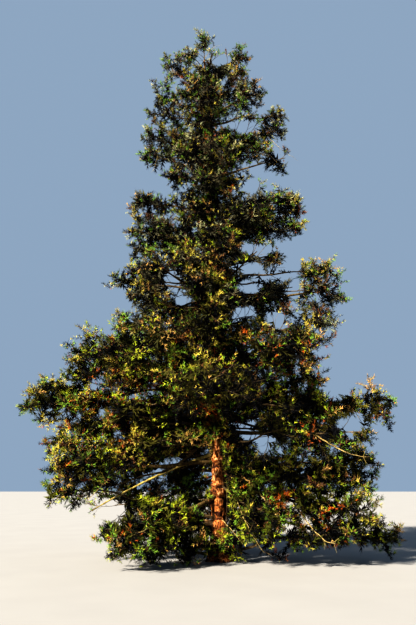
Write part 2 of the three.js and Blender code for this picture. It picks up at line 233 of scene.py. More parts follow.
# Openings in the crown, and bites out of its edge, as seen on the upright plane through the trunk: x, z and
# half sizes
CROWN_GAPS = [
    (0.81, 11.58, 0.40, 0.19),
    (1.16, 10.20, 0.26, 0.26),
    (0.95, 9.66, 0.30, 0.17),
    (0.78, 7.26, 0.40, 0.20),
    (1.08, 7.75, 0.52, 0.20),
    (1.66, 7.02, 0.30, 0.13),
    (0.83, 6.66, 0.36, 0.18),
    (1.95, 6.56, 0.28, 0.17),
    (0.66, 6.00, 0.34, 0.25),
    (1.51, 5.78, 0.24, 0.26),
    (-1.24, 6.92, 0.27, 0.34),
    (-0.88, 6.32, 0.24, 0.18),
    (2.02, 7.30, 0.16, 0.30),
    (-0.48, 13.88, 0.14, 0.24),
    (0.10, 13.84, 0.27, 0.22),
    (0.66, 2.98, 0.34, 0.22),
    (1.15, 2.78, 0.26, 0.24),
    (2.95, 4.02, 0.32, 0.26),
    (3.28, 3.12, 0.30, 0.28),
    (-2.55, 1.12, 0.42, 0.26),
    (-0.38, 13.98, 0.17, 0.15),
    (-2.06, 12.50, 0.20, 0.30),
    (-1.85, 9.88, 0.42, 0.16),
    (-2.56, 9.42, 0.24, 0.22),
    (1.80, 7.78, 0.24, 0.18),
    (1.20, 6.96, 0.40, 0.10),
    (-2.72, 6.52, 0.26, 0.16),
    (1.88, 10.55, 0.30, 0.10),
]
# How their edges waver: the least and greatest share of the area kept open, and the length of a wave
GAP_EDGE = (0.45, 1.55)
GAP_WAVE = 0.17
PLUME_RADII = (0.0085, 0.0032)
# Twigs: how many on a plume of the usual span, how much of that goes with the span, the first and last place
# for them and their number, the middle and half sizes of the ellipsoid that they reach for, as shares of the
# span, and how a twig bows
TWIGS_PER_PLUME = 8
FEWEST_TWIGS = 4
USUAL_SPAN = 0.7
SHORTEST_SPAN = 0.42
TWIGS_BY_SPAN = 0.4
TWIG_PLACES = (0.22, 0.985, 18)
TWIG_BACK_LIMIT = 0.7
TWIG_MIDDLE = 0.66
TWIG_HALF = (0.42, 0.36, 0.27)
TWIG_LENGTH = 0.34
TWIG_RADII = (0.0042, 0.0018)
TWIG_SCATTER = 0.035
TWIG_BOW = 0.45
TWIG_AHEAD = 0.15
TWIG_LIFT = 0.4
TWIG_SAG = 0.5
TWIG_TIP_LIFT = 0.5
LOWEST_TWIG = 0.07
FORWARD_LEAN = 0.7
# Shoots: where on a twig they start, and their angle from it in degrees at its foot and at its tip, which
# closes with the square of the place. A jitter is the most that one differs by. The taper is a shoot's length
# at the twig's foot, and how much less it is at the tip.
SHOOT_FROM = 0.2
LOWEST_SHOOT = 0.05
SHOOT_SPREAD = (58, 10)
SHOOT_PLACE_JITTER = 0.04
SHOOT_TURN_JITTER = 0.3
SHOOT_SPREAD_JITTER = 0.15
SHOOT_RISE = 0.35
SHOOT_TAPER = (1.08, 0.3)
SHOOT_CURL = (0.5, 1.5)
CURL_SCATTER = 0.08
# The share of shoots in painted shade kept, and of those on the lesser limbs inside the crown
INNER_KEPT = 0.25
FILLER_KEPT = 0.5
# Feathers are bushy sprays inside a mass, coloured in painted shade. They fill a share of it, and from a
# share of that outwards some of them take their band's outer colour, a lighter painted shade. Along the limb
# they stand aside from it, flattened upwards. Each grows from the place on a plume or on the limb that is
# nearest to a share of its length away.
FEATHERS_PER_AREA = 178.0
FEATHERS_PER_METRE = 25.0
FEATHER_BACK_LIMIT = 0.95
FEATHER_FILL = 0.74
FEATHER_INNERMOST = 0.1
FEATHER_ASIDE = (0.2, 0.6)
FEATHER_FLATTENING = (1, 1, 0.6)
FEATHER_PLUME_PLACES = (0.25, 0.9, 5)
FEATHER_LIMB_PLACES = (0.95, 40)
FEATHER_BEHIND = 0.8
FEATHER_ROLL = 0.9
FEATHER_BEND = (-0.15, 0.1)
FEATHER_SCATTER = 0.03
DIM_FROM = 0.45
FEATHER_LENGTH = {
    "crown": (0.20, 0.32),
    "middle": (0.26, 0.40),
    "skirt": (0.3, 0.44),
    "hem": (0.3, 0.44),
    "foot": (0.28, 0.42),
}
TRUNK_FEATHERS = {
    "count": 700,
    "heights": (3.0, 13.4),
    "rise": (-1.4, 2.6),
    "length": (0.3, 0.5),
    "roll": 1.2,
    "bend": (-0.35, -0.1),
    "depth": 0.9,
}
# The needles of a shoot and of a feather one unit long: how many, how far along the last one starts, then for
# the first and last the length and the angle from the axis in degrees, their width at the foot, how far ahead
# the tips lean, and how flat the spray is
SHOOT_NEEDLES = {
    "count": 5,
    "last": 0.62,
    "lengths": (0.60, 0.38),
    "spreads": (56, 6),
    "width": 0.24,
    "ahead": 0.12,
    "flatness": 1.0,
}
FEATHER_NEEDLES = {
    "count": 12,
    "last": 0.72,
    "lengths": (0.44, 0.28),
    "spreads": (58, 14),
    "width": 0.19,
    "ahead": 0.08,
    "flatness": 0.6,
}
GROUND_MARGIN = 0.03
SIDE_MARGIN = 0.12

# A tier's shoots: how many on a twig, and how long
TIER_SHOOTS = {
    "top": (14, (0.065, 0.115)),
    "upper": (14, (0.070, 0.120)),
    "middle": (12, (0.080, 0.135)),
    "shoulder": (11, (0.085, 0.145)),
    "skirt": (10, (0.095, 0.155)),
    "hem": (10, (0.095, 0.155)),
    "foot": (10, (0.095, 0.160)),
}
# How a tier's foliage hangs: how far a plume sags, how far its end rises, and how a shoot's tip curls
TIER_HABIT = {
    "top": (0.05, 0.16, 0.26),
    "upper": (0.10, 0.12, 0.22),
    "middle": (0.13, 0.08, 0.20),
    "shoulder": (0.15, 0.05, 0.18),
    "skirt": (0.17, 0.03, 0.15),
    "hem": (0.18, 0.02, 0.13),
    "foot": (0.12, 0.04, 0.16),
}
# How far a mass's plumes spread past its half sizes, along, across and upwards, into the gaps beside it
TIER_SPREAD = {
    "top": (1.0, 1.0, 1.0),
    "upper": (1.0, 1.08, 1.05),
    "middle": (1.0, 1.12, 1.12),
    "shoulder": (1.0, 1.15, 1.25),
    "skirt": (1.0, 1.2, 1.35),
    "hem": (1.0, 1.2, 1.35),
    "foot": (1.0, 1.15, 1.12),
}

# How densely a tier's masses are set with plumes
TIER_DENSITY = {
    "top": 1.75,
    "upper": 1.5,
    "middle": 1.2,
    "shoulder": 1.05,
    "skirt": 1.02,
    "hem": 1.05,
    "foot": 1.2,
}

# Colours of the shoots, and the share of each in every tier, which the plumes are dealt by
KINDS = {
    "sage": (0.420, 0.430, 0.240),
    "green": (0.155, 0.275, 0.042),
    "olive": (0.430, 0.375, 0.072),
    # painted shade: near black, dealt where shade falls inside and beneath the masses
    "deep": (0.0072, 0.0078, 0.0095),
    "fresh": (0.330, 0.390, 0.034),
    "bronze": (0.440, 0.285, 0.100),
    "umber": (0.180, 0.090, 0.042),
    "rust": (0.340, 0.092, 0.018),
}
kind_names = list(KINDS)
PAINTED_SHADE = kind_names.index("deep")
# The lighter painted shade of each band's outer feathers
OUTER_SHADE_COLOURS = {
    "crown": (0.078, 0.078, 0.056),
    "middle": (0.074, 0.072, 0.046),
    "skirt": (0.050, 0.050, 0.016),
    "hem": (0.058, 0.056, 0.014),
    "foot": (0.054, 0.059, 0.011),
}
KIND_SLOTS = {
    "sage": "foliage_green",
    "green": "foliage_green",
    "olive": "foliage_olive",
    "deep": "foliage_dark",
    "fresh": "foliage_olive",
    "bronze": "foliage_bronze",
    "umber": "foliage_bronze",
    "rust": "foliage_bronze",
}
TIER_KINDS = {
    "top": {"sage": 3, "green": 3.6, "olive": 2.4, "bronze": 1.2, "umber": 1.2, "rust": 0.25},
    "upper": {"sage": 2.8, "green": 3.6, "olive": 2.4, "bronze": 1.2, "umber": 1.4, "rust": 0.15},
    "middle": {
        "sage": 2.2, "green": 4.2, "olive": 3.2, "fresh": 1, "bronze": 0.9, "umber": 1.4, "rust": 0.25,
    },
    "shoulder": {
        "sage": 1.4, "green": 3.9, "olive": 3.4, "fresh": 2, "bronze": 1.2, "umber": 1.2, "rust": 0.35,
    },
    "skirt": {"green": 3.6, "olive": 3.6, "fresh": 2.6, "bronze": 2.2, "umber": 1, "rust": 0.6},
    "hem": {"green": 3.8, "olive": 4, "fresh": 3, "bronze": 1.8, "umber": 0.6, "rust": 0.5},
    "foot": {"green": 4.8, "olive": 2.4, "fresh": 5, "bronze": 0.9, "rust": 0.5},
}
# Twigs whose tips are nearer the middle of their mass than this share of it mostly take the painted shade
INNER_SHARE = 0.62
INNER_PAINTED_SHADE = 0.8
# The share of a tier's shoots in shade
TIER_SHADE = {
    "top": 0.34,
    "upper": 0.52,
    "middle": 0.58,
    "shoulder": 0.38,
    "skirt": 0.56,
    "hem": 0.54,
    "foot": 0.56,
}
# Pools of painted shadow and painted light: where foliage has more or less painted shade than its tier, on
# the
# upright plane through the trunk: x, z, half sizes and the factor on its painted shade
SHADE_PATCHES = [
    (1.00, 3.30, 0.90, 1.00, 1.7),
    (0.90, 4.80, 0.80, 0.70, 1.45),
    (2.65, 6.70, 0.80, 0.70, 1.2),
    (1.10, 8.15, 0.95, 0.22, 1.8),
    (-1.60, 1.70, 1.10, 0.25, 1.8),
    (-3.40, 3.10, 1.60, 1.20, 0.75),
    (-1.40, 0.90, 1.10, 0.60, 0.85),
    (1.90, 1.35, 1.60, 0.70, 0.85),
    (-2.00, 4.90, 1.60, 0.70, 0.6),
    (2.05, 4.40, 0.50, 0.70, 0.6),
    (-0.40, 7.20, 0.55, 0.80, 1.15),
    (0.20, 4.55, 0.85, 0.62, 1.7),
    (-1.60, 3.20, 1.05, 0.60, 1.5),
]
# How much more shade there is at the bottom of a mass than in its middle, how it varies from plume to plume,
# and how little of it a twig's tip has
SHADE_BELOW = 0.75
PLUME_SHADE = (0.4, 1.6)
SHADE_AT_TIP = 0.4
# The share of brown shoots at a twig's foot, and of twigs and shoots that are dealt a colour of their own
FOOT_BROWN = 0.16
TWIGS_DEALT_AGAIN = 0.28
DEALT_AGAIN = 0.16
# Dead foliage: where it is seen on the upright plane through the trunk, x and z, its radius, the share dead
RUST_PATCHES = [
    (1.50, 1.42, 0.24, 0.75),
    (2.62, 0.95, 0.26, 0.75),
    (-2.80, 3.50, 1.10, 0.14),
    (-2.50, 3.40, 0.40, 0.25),
    (-0.25, 3.40, 0.30, 0.30),
    (1.95, 4.90, 0.90, 0.12),
]
# Dead limbs: the mass whose limb each grows from and how far along it, or the trunk and the height, then its
# tip, how far its middle sags, and its radius at the foot
DEAD_LIMBS = [
    ("hem_right_front", 0.70, (3.14, -1.80, 2.26), 0.16, 0.020),
    ("foot_right", 0.28, (1.42, -1.45, 0.68), -0.12, 0.020),
    ("foot_right", 0.52, (2.38, -1.85, 0.55), 0.28, 0.016),
    ("foot_right_near", 0.35, (0.95, -1.35, 0.30), 0.10, 0.010),
    ("trunk", 0.55, (-0.60, -0.75, 0.04), -0.22, 0.017),
    ("trunk", 0.95, (0.52, -0.70, 0.42), -0.10, 0.012),
    ("foot_left_front", 0.42, (-0.95, -1.45, 0.05), -0.10, 0.011),
    ("foot_left_front", 0.66, (-1.75, -2.35, 0.72), 0.05, 0.013),
    ("upper_right_middle", 0.78, (2.10, -0.35, 10.35), 0.30, 0.006),
    ("upper_right_middle", 0.64, (1.62, -0.45, 10.12), 0.25, 0.006),
    ("upper_left_low", 0.80, (-1.80, -0.30, 9.95), 0.25, 0.005),
    ("middle_thin_right", 0.55, (1.75, -0.25, 7.15), 0.25, 0.007),
    ("leader", 0.05, (0.02, -0.12, 14.25), -0.10, 0.007),
    ("hem_left", 0.55, (-3.05, -1.25, 2.75), 0.20, 0.010),
    ("hem_left_hanging", 0.62, (-2.75, -2.05, 1.35), 0.15, 0.010),
]
# The first ones show, so foliage keeps clear of them. Then how each bows and wanders, and its twigs
DEAD_SHOWN = 6
DEAD_SEED = 1101
DEAD_PLACES = 16
DEAD_FORWARD = 0.25
DEAD_SCATTER = 0.04
DEAD_WANDER = 0.02
DEAD_WAVES = 9
DEAD_SIDES = 6
DEAD_TIP_SHARE = 0.25
DEAD_TWIG_SEED = 2101
DEAD_TWIGS = 6
DEAD_TWIG_PLACES = (4, 15)
DEAD_TWIG_LENGTH = (0.1, 0.3)
DEAD_TWIG_AHEAD = 0.9
DEAD_TWIG_SCATTER = 0.6
DEAD_TWIG_RADII = (0.3, 0.12)
DEAD_TWIG_SAG = 0.02
LOWEST_DEAD_TWIG = 0.03
BANDS = {
    "crown": ("top", "upper"),
    "middle": ("middle", "shoulder"),
    "skirt": ("skirt",),
    "hem": ("hem",),
    "foot": ("foot",),
}
band_of = {tier: band for band, tiers in BANDS.items() for tier in tiers}


def unit(v):
    """Vectors scaled to a length of one."""
    return v / np.maximum(np.linalg.norm(v, axis=-1, keepdims=True), TINY)


def heading_at(degrees):
    turn = math.radians(degrees)
    return np.array([math.cos(turn), math.sin(turn), 0.0])


def trunk_axis(height):
    height = np.maximum(np.asarray(height, float), 0)
    return np.stack([LEAN * (height / TREE_HEIGHT) ** LEAN_POWER, 0 * height, height], axis=-1)


def trunk_radius(height, angle):
    left = np.maximum(1 - height / TRUNK_HEIGHT, 0)
    stem = (TRUNK_RADIUS - TRUNK_TIP_RADIUS) * left**TRUNK_TAPER
    flare = FLARE * np.exp(-height / FLARE_HEIGHT)
    return TRUNK_TIP_RADIUS + stem + flare * (1 + BUTTRESS_SHARE * np.cos(BUTTRESSES * angle))


class Mass:
    """One mass of foliage with its frame and the path of its limb, as in the model's source."""

    is_filler = False
    is_inside = False

    def __init__(self, tier, name, drop, slope, row):
        degrees, out, up, along, across, thick = row
        out, up, along, across, thick, drop = (x * MM for x in (out, up, along, across, thick, drop))
        heading = heading_at(degrees)
        self.tier = tier
        self.name = f"{tier}_{name}"
        self.heading = heading
        self.foot = trunk_axis(up - drop)
        self.centre = self.foot + heading * out
        self.centre[2] = up
        self.half = np.array([along, across, thick])
        axis_along = unit(heading + slope * UP)
        axis_across = np.cross(UP, heading)
        self.frame = np.stack([axis_along, axis_across, np.cross(axis_along, axis_across)])
        self.reach = out + STEM_END * along
        middle = out / self.reach
        self.rise = drop + slope * STEM_END * along
        self.bend = (self.rise - drop / middle) / (1 - middle)
        self.start = (out - FOLIAGE_START * along) / self.reach
        self.is_main = self.name in MAIN_BOUGHS
        stem_radius = STEM_FOOT_RADIUS * min(1, self.reach / LONG_REACH)
        self.foot_radius = BOUGH_FOOT_RADIUS if self.is_main else stem_radius
        self.side = UP
        self.sway_turn = math.radians(SWAY_TURNS * degrees)

    def path(self, t):
        t = np.asarray(t, float)[..., None]
        climb = (self.rise - self.bend) * t + self.bend * t * t
        straight = self.foot + self.heading * (self.reach * t) + UP * climb
        size = (FILLER_SWAY if self.is_filler else LIMB_SWAY) * self.reach * np.sin(math.pi * t)
        turn = FULL_TURN * SWAYS * t + self.sway_turn
        upward = SWAY_UPWARD["share"] * np.cos(SWAY_UPWARD["waves"] * turn)
        return straight + (self.frame[1] * np.sin(turn) + UP * upward) * size

    def along(self, t):
        return unit(self.path(t + MM) - self.path(t - MM))

    def radius(self, t):
        return self.foot_radius + (STEM_TIP_RADIUS - self.foot_radius) * t


class Leader(Mass):
    """The tuft above the trunk's tip."""

    def __init__(self):
        height, width, middle = (LEADER[k] * MM for k in ("height", "width", "middle"))
        top = trunk_axis(TRUNK_HEIGHT)
        lean = unit(trunk_axis(TRUNK_HEIGHT + MM) - trunk_axis(TRUNK_HEIGHT - MM))
        self.tier = "top"
        self.name = "leader"
        self.foot = top
        self.heading = lean
        self.centre = top + lean * (middle - TRUNK_HEIGHT)
        self.half = np.array([height, width, width])
        self.frame = np.stack([lean, BACK, np.cross(lean, BACK)])
        self.reach = middle + STEM_END * height - TRUNK_HEIGHT
        self.start = 0.0
        self.is_main = False
        self.foot_radius = STEM_FOOT_RADIUS * self.reach / LONG_REACH
        self.side = BACK

    def path(self, t):
        return self.foot + self.heading * (self.reach * np.asarray(t, float)[..., None])


MASSES = []
for tier, (drop, slope, rows) in TIERS.items():
    MASSES += [Mass(tier, name, drop, slope, row) for name, row in rows.items()]
MASSES.append(Leader())

# Lesser limbs on the trunk between the others, which fill the middle of the crown: how many, the first one's
# angle and the turn to the next, then for the lowest and highest the height, how far out the foliage is and
# its half size, in millimetres
FILLERS = {
    "core": (24, 250, 137.5, (3450, 12700), (900, 480), (560, 380)),
    "ring": (22, 160, 137.5, (2500, 7300), (2300, 1650), (860, 620)),
    "front": (8, 258, 24, (6200, 13000), (1700, 620), (720, 440)),
    "back": (10, 66, 47, (2200, 13100), (2900, 720), (980, 480)),
    "back_low": (6, 118, 41, (900, 7200), (2600, 2100), (900, 760)),
}
# Those inside the crown turn all the way round, and the others stay in a sector
INSIDE_FILLERS = ("core", "ring")
SECTOR = 60
FILLER_THICKNESS = 0.7
FILLER_DROP = 150
FILLER_SLOPE = 0.1

# Lesser limbs set where the photograph shows the crown closed between its masses: angle, distance out,
# height, then half sizes along the limb, across it and upwards, in millimetres
CLOSERS = [
    (268, 620, 10350, 420, 480, 420),
    (281, 640, 9350, 430, 480, 420),
    (258, 600, 8700, 420, 460, 400),
    (276, 640, 7700, 440, 500, 420),
    (262, 700, 6100, 460, 520, 420),
    (284, 700, 4300, 480, 540, 420),
    (250, 640, 3500, 460, 560, 380),
    (292, 640, 3420, 460, 560, 380),
    (358, 880, 12750, 380, 420, 400),
    (185, 1400, 11900, 400, 420, 380),
    (178, 1000, 9980, 380, 460, 340),
    (350, 1380, 8200, 420, 460, 360),
    (357, 2700, 7100, 400, 420, 320),
    (187, 3100, 4400, 860, 780, 480),
    (196, 2950, 3000, 860, 760, 520),
    (212, 2300, 3300, 860, 820, 520),
    (186, 3600, 2650, 700, 620, 460),
    (333, 2150, 3500, 820, 760, 480),
    (350, 2900, 3500, 780, 720, 460),
    (345, 3150, 2250, 760, 700, 420),
    (322, 2300, 1850, 820, 760, 420),
    (216, 1350, 1150, 660, 620, 520),
    (236, 1700, 620, 720, 760, 360),
    (318, 1250, 820, 620, 600, 480),
    (334, 2500, 640, 820, 760, 360),
    (228, 2450, 430, 860, 760, 300),
    (214, 2550, 760, 640, 560, 380),
    (238, 1250, 2680, 620, 560, 340),
    (222, 1950, 2560, 640, 560, 320),
    (329, 2250, 1250, 700, 660, 460),
    (318, 560, 13250, 380, 420, 380),
    (20, 1150, 12900, 400, 420, 380),
    (178, 640, 1350, 420, 420, 420),
    (312, 600, 1700, 360, 380, 380),
    (304, 600, 2380, 360, 380, 340),
    (268, 560, 2980, 360, 460, 260),
    (310, 620, 980, 340, 360, 320),
    (300, 620, 480, 380, 380, 260),
    (246, 560, 460, 320, 340, 240),
    (183, 3950, 3950, 700, 700, 420),
    (190, 1860, 7680, 400, 480, 400),
    (182, 470, 13950, 260, 300, 240),
    (0, 1480, 10800, 280, 320, 220),
    (358, 2200, 8350, 380, 400, 260),
    (285, 820, 2320, 420, 460, 340),
    (296, 760, 2600, 380, 420, 280),
    (294, 760, 1980, 380, 420, 300),
    (165, 800, 2500, 520, 520, 380),
    (170, 900, 1800, 560, 560, 420),
    (215, 700, 900, 420, 420, 360),
    (160, 700, 900, 460, 460, 380),
    (197, 3650, 1600, 480, 460, 420),
    (208, 780, 2620, 420, 420, 240),
    (2, 1150, 11120, 420, 440, 300),
    (96, 950, 1350, 640, 660, 560),
    (78, 1050, 2350, 680, 700, 480),
    (150, 900, 2050, 560, 560, 420),
    (2, 1980, 11950, 280, 320, 220),
    (176, 1650, 10650, 300, 340, 200),
    (0, 540, 9750, 240, 260, 240),
    (2, 2250, 9250, 240, 260, 200),
    (357, 2150, 6560, 430, 300, 120),
    (4, 1010, 13420, 300, 340, 260),
    (86, 1500, 7750, 640, 760, 460),
    (272, 1250, 7650, 560, 700, 400),
    (200, 3000, 2300, 620, 620, 420),
    (192, 3500, 2150, 560, 600, 400),
    (205, 2800, 1700, 560, 560, 380),
    (335, 2700, 1950, 620, 620, 400),
    (352, 3250, 1850, 540, 560, 360),
    (188, 3150, 3600, 600, 680, 400),
    (191, 2850, 3050, 560, 600, 380),
    (75, 1250, 10450, 520, 620, 400),
    (236, 660, 1360, 300, 320, 220),
    (112, 1900, 5850, 640, 760, 420),
]
# Long closers to the left that would start in the open space round the bare bough start above it
OPEN_SPACE = {"angles": (185, 210), "out": 2500, "heights": (1700, 2750), "foot": 2950}
# How far below the middle of its foliage a closer of each tier starts, how steeply its foliage climbs, and
# the lowest place on the trunk where one starts
CLOSER_DROP = {
    "top": 500,
    "upper": 350,
    "middle": 250,
    "shoulder": 150,
    "skirt": 0,
    "hem": -150,
    "foot": 700,
}
CLOSER_SLOPE = 0.05
LOWEST_FOOT = 130


def tier_at(height):
    """The tier whose foliage is nearest in height."""

    def distance(tier):
        return min(abs(row[2] * MM - height) for row in TIERS[tier][2].values())

    return min(TIERS, key=distance)


def band_at(height):
    return band_of[tier_at(height)]


def filler_limbs():
    for name, (count, angle, turn, *spans) in FILLERS.items():
        for k in range(count):
            share = k / (count - 1)
            up, out, half = (low + (high - low) * share for low, high in spans)
            is_inside = name in INSIDE_FILLERS
            turned = k * turn if is_inside else k * turn % SECTOR
            row = (angle + turned, out, up, half, half, FILLER_THICKNESS * half)
            mass = Mass(tier_at(up * MM), f"{name}_{k}", FILLER_DROP, FILLER_SLOPE, row)
            mass.is_filler = True
            mass.is_inside = is_inside
            yield mass


def closer_drop(row, tier):
    """How far below the middle of its foliage a closer starts."""
    angle, out, up = row[:3]
    drop = min(CLOSER_DROP[tier], up - LOWEST_FOOT)
    least_angle, most_angle = OPEN_SPACE["angles"]
    low, high = OPEN_SPACE["heights"]
    if least_angle < angle < most_angle and out > OPEN_SPACE["out"] and low < up - drop < high:
        drop = up - OPEN_SPACE["foot"]
    return drop


def closer_limbs():
    for k, row in enumerate(CLOSERS):
        tier = tier_at(row[2] * MM)
        mass = Mass(tier, f"closer_{k}", closer_drop(row, tier), CLOSER_SLOPE, row)
        mass.is_filler = True
        yield mass


MASSES += [*filler_limbs(), *closer_limbs()]
for mass in MASSES:
    mass.size = float(np.cbrt(mass.half.prod()))


# Noise and meshes


# Large numbers, shifts and masks that scramble a cell's whole numbers
CELL_FACTORS = (73856093, 19349663, 83492791)
MIX_FACTOR = 1274126177
MIX_SHIFTS = (13, 16)
MIX_MASK = 0x7FFFFFFF
LOW_BITS = 0xFFFF
# The cosine above which a tube counts as running along its reference, and how far its tip bulges
STEEP = 0.97
TIP_BULGE = 0.6


def lattice(cells):
    """A repeatable random number from 0 to 1 for each whole-number cell."""
    x, y, z = (cells[..., i].astype(np.int64) * factor for i, factor in enumerate(CELL_FACTORS))
    h = x ^ y ^ z
    h = (h ^ (h >> MIX_SHIFTS[0])) * MIX_FACTOR & MIX_MASK
    return ((h ^ (h >> MIX_SHIFTS[1])) & LOW_BITS) / LOW_BITS


def noise(points):
    """Smooth noise from 0 to 1 at each point."""
    cell = np.floor(points)
    f = points - cell
    f = f * f * (3 - 2 * f)
    total = 0
    for corner in np.ndindex(2, 2, 2):
        weight = np.prod(np.where(np.array(corner) == 1, f, 1 - f), axis=-1)
        total = total + weight * lattice(cell + np.array(corner))
    return total


def make_mesh(name, vertices, triangles, smooth=False, quads=None):
    """An object from arrays of vertices and faces."""
    mesh = bpy.data.meshes.new(name)
    vertices = np.asarray(vertices, np.float32)
    triangles = np.asarray(triangles, np.int32).reshape(-1, 3)
    quads = np.asarray([] if quads is None else quads, np.int32).reshape(-1, 4)
    loops = np.concatenate([triangles.ravel(), quads.ravel()])
    quad_starts = len(triangles) * 3 + np.arange(len(quads)) * 4
    starts = np.concatenate([np.arange(len(triangles)) * 3, quad_starts])
    mesh.vertices.add(len(vertices))
    mesh.vertices.foreach_set("co", vertices.ravel())
    mesh.loops.add(len(loops))
    mesh.loops.foreach_set("vertex_index", loops)
    mesh.polygons.add(len(starts))
    mesh.polygons.foreach_set("loop_start", starts.astype(np.int32))
    mesh.polygons.foreach_set("use_smooth", np.full(len(starts), smooth))
    mesh.update()
    mesh.validate()
    thing = bpy.data.objects.new(name, mesh)
    bpy.context.scene.collection.objects.link(thing)
    return thing


def frames_along(tangent, reference):
    """Two unit vectors square to each tangent."""
    steep = np.abs(tangent @ reference) > STEEP
    other = BACK if abs(reference[2]) > 0.5 else UP
    ref = np.where(steep[..., None], other, reference)
    normal = unit(np.cross(ref, tangent))
    return normal, np.cross(normal, tangent)


def tube(points, radii, sides, reference=UP, relief=None, closed_foot=False):
    """Vertices of a tube along points, its end caps' triangles and its quads. radii is one per ring, or per
    ring and side."""
    rings = len(points)
    tangent = unit(np.gradient(points, axis=0))
    normal, binormal = frames_along(tangent, reference)
    angle = np.linspace(0, FULL_TURN, sides, endpoint=False)
    size = np.broadcast_to(np.asarray(radii, float).reshape(rings, -1), (rings, sides))
    turn = angle[None, :, None]
    spokes = normal[:, None] * np.cos(turn) + binormal[:, None] * np.sin(turn)
    surface = points[:, None] + spokes * size[..., None]
    if relief is not None:
        surface = surface + spokes * relief(surface, spokes)[..., None]
    ring, side = np.meshgrid(np.arange(rings - 1), np.arange(sides), indexing="ij")
    following = (side + 1) % sides
    below, above = ring * sides, (ring + 1) * sides
    quads = np.stack([below + following, below + side, above + side, above + following], axis=-1)
    vertices = surface.reshape(-1, 3)
    tip = len(vertices)
    vertices = np.concatenate([vertices, points[-1:] + tangent[-1:] * size[-1].mean() * TIP_BULGE])
    last = (rings - 1) * sides
    around = np.arange(sides)
    caps = [np.stack([last + (around + 1) % sides, last + around, np.full(sides, tip)], axis=-1)]
    if closed_foot:
        vertices = np.concatenate([vertices, points[:1]])
        caps.append(np.stack([around, (around + 1) % sides, np.full(sides, tip + 1)], axis=-1))
    return vertices, np.concatenate(caps), quads.reshape(-1, 4)


class Batch:
    """Parts of one piece, joined as they come."""

    def __init__(self):
        self.vertices, self.triangles, self.quads, self.count = [], [], [], 0

    def add(self, vertices, triangles=None, quads=None):
        self.vertices.append(np.asarray(vertices).reshape(-1, 3))
        if triangles is not None:
            self.triangles.append(np.asarray(triangles).reshape(-1, 3) + self.count)
        if quads is not None:
            self.quads.append(np.asarray(quads).reshape(-1, 4) + self.count)
        self.count += len(self.vertices[-1])

    def piece(self, name, smooth=False):
        """The parts as one object, with nothing below the ground."""
        vertices = np.concatenate(self.vertices)
        vertices[:, 2] = np.maximum(vertices[:, 2], 0)
        triangles = np.concatenate(self.triangles) if self.triangles else np.zeros((0, 3))
        quads = np.concatenate(self.quads) if self.quads else None
        return make_mesh(name, vertices, triangles, smooth, quads)


def bezier(ends, u):
    """Points and directions on quadratic curves: ends (n, 3, 3) and places u (n, k)."""
    a, b, c = (ends[:, None, i] for i in range(3))
    u = u[..., None]
    point = a * (1 - u) ** 2 + 2 * b * u * (1 - u) + c * u * u
    return point, unit((b - a) * (1 - u) + (c - b) * u)


def twig_tubes(ends, radii, sides, rings):
    """Thin tubes on quadratic curves, with a point at each tip."""
    n = len(ends)
    u = np.broadcast_to(np.linspace(0, 1, rings + 1)[None, :-1], (n, rings))
    point, tangent = bezier(ends, u)
    normal, binormal = frames_along(tangent, UP)
    angle = np.arange(sides) * FULL_TURN / sides
    foot, tip = radii
    size = (foot + (tip - foot) * u)[..., None, None]
    spokes = normal[:, :, None] * np.cos(angle)[:, None] + binormal[:, :, None] * np.sin(angle)[:, None]
    body = (point[:, :, None] + spokes * size).reshape(n, rings * sides, 3)
    vertices = np.concatenate([body, ends[:, 2:3]], axis=1)
    faces = []
    for ring in range(rings):
        for side in range(sides):
            a, b = ring * sides + (side + 1) % sides, ring * sides + side
            if ring == rings - 1:
                faces.append((a, b, rings * sides))
            else:
                faces += [(a, b, b + sides), (a, b + sides, a + sides)]
    stride = rings * sides + 1
    triangles = np.array(faces)[None] + (np.arange(n) * stride)[:, None, None]
    return vertices.reshape(-1, 3), triangles.reshape(-1, 3)


# Growth rules


def dealt_points(centre, axes, half, count, turn, back_limit):
    """Points dealt evenly over an ellipsoid from its far end back, as in the model's source."""
    k = np.arange(count)
    forward = 1 - (1 + back_limit) * ((k + 0.5) / count)
    ring = np.sqrt(np.maximum(1 - forward**2, 0))
    angle = turn + k * GOLDEN_ANGLE
    shares = np.stack([forward, ring * np.cos(angle), ring * np.sin(angle)], axis=-1)
    return centre + (shares * half) @ axes


def take_root(places, along, free, point, length):
    """The source's rule: a root about one length away from the point and behind it, each used once."""
    away = point - places
    distance = np.linalg.norm(away, axis=-1)
    cost = np.abs(distance - length) - FORWARD_LEAN * length * np.einsum("ij,ij->i", away, along) / distance
    cost[~free] = np.inf
    best = int(np.argmin(cost))
    free[best] = False
    return best


def bare_path(t):
    b = BARE_BOUGH
    t = np.asarray(t, float)
    points = trunk_axis(b["foot"]) + heading_at(b["angle"]) * (b["reach"] * t[..., None])
    points[..., 2] = b["foot"] - b["fall"] * t + 4 * b["hump"] * t * (1 - t)
    return points


def seen_at(points):
    """Where points are seen from the photograph's camera, on the upright plane through the trunk: x and z."""
    share = -CAMERA_PLACE[1] / (points[..., 1] - CAMERA_PLACE[1])
    return points[..., 0] * share, CAMERA_PLACE[2] + (points[..., 2] - CAMERA_PLACE[2]) * share


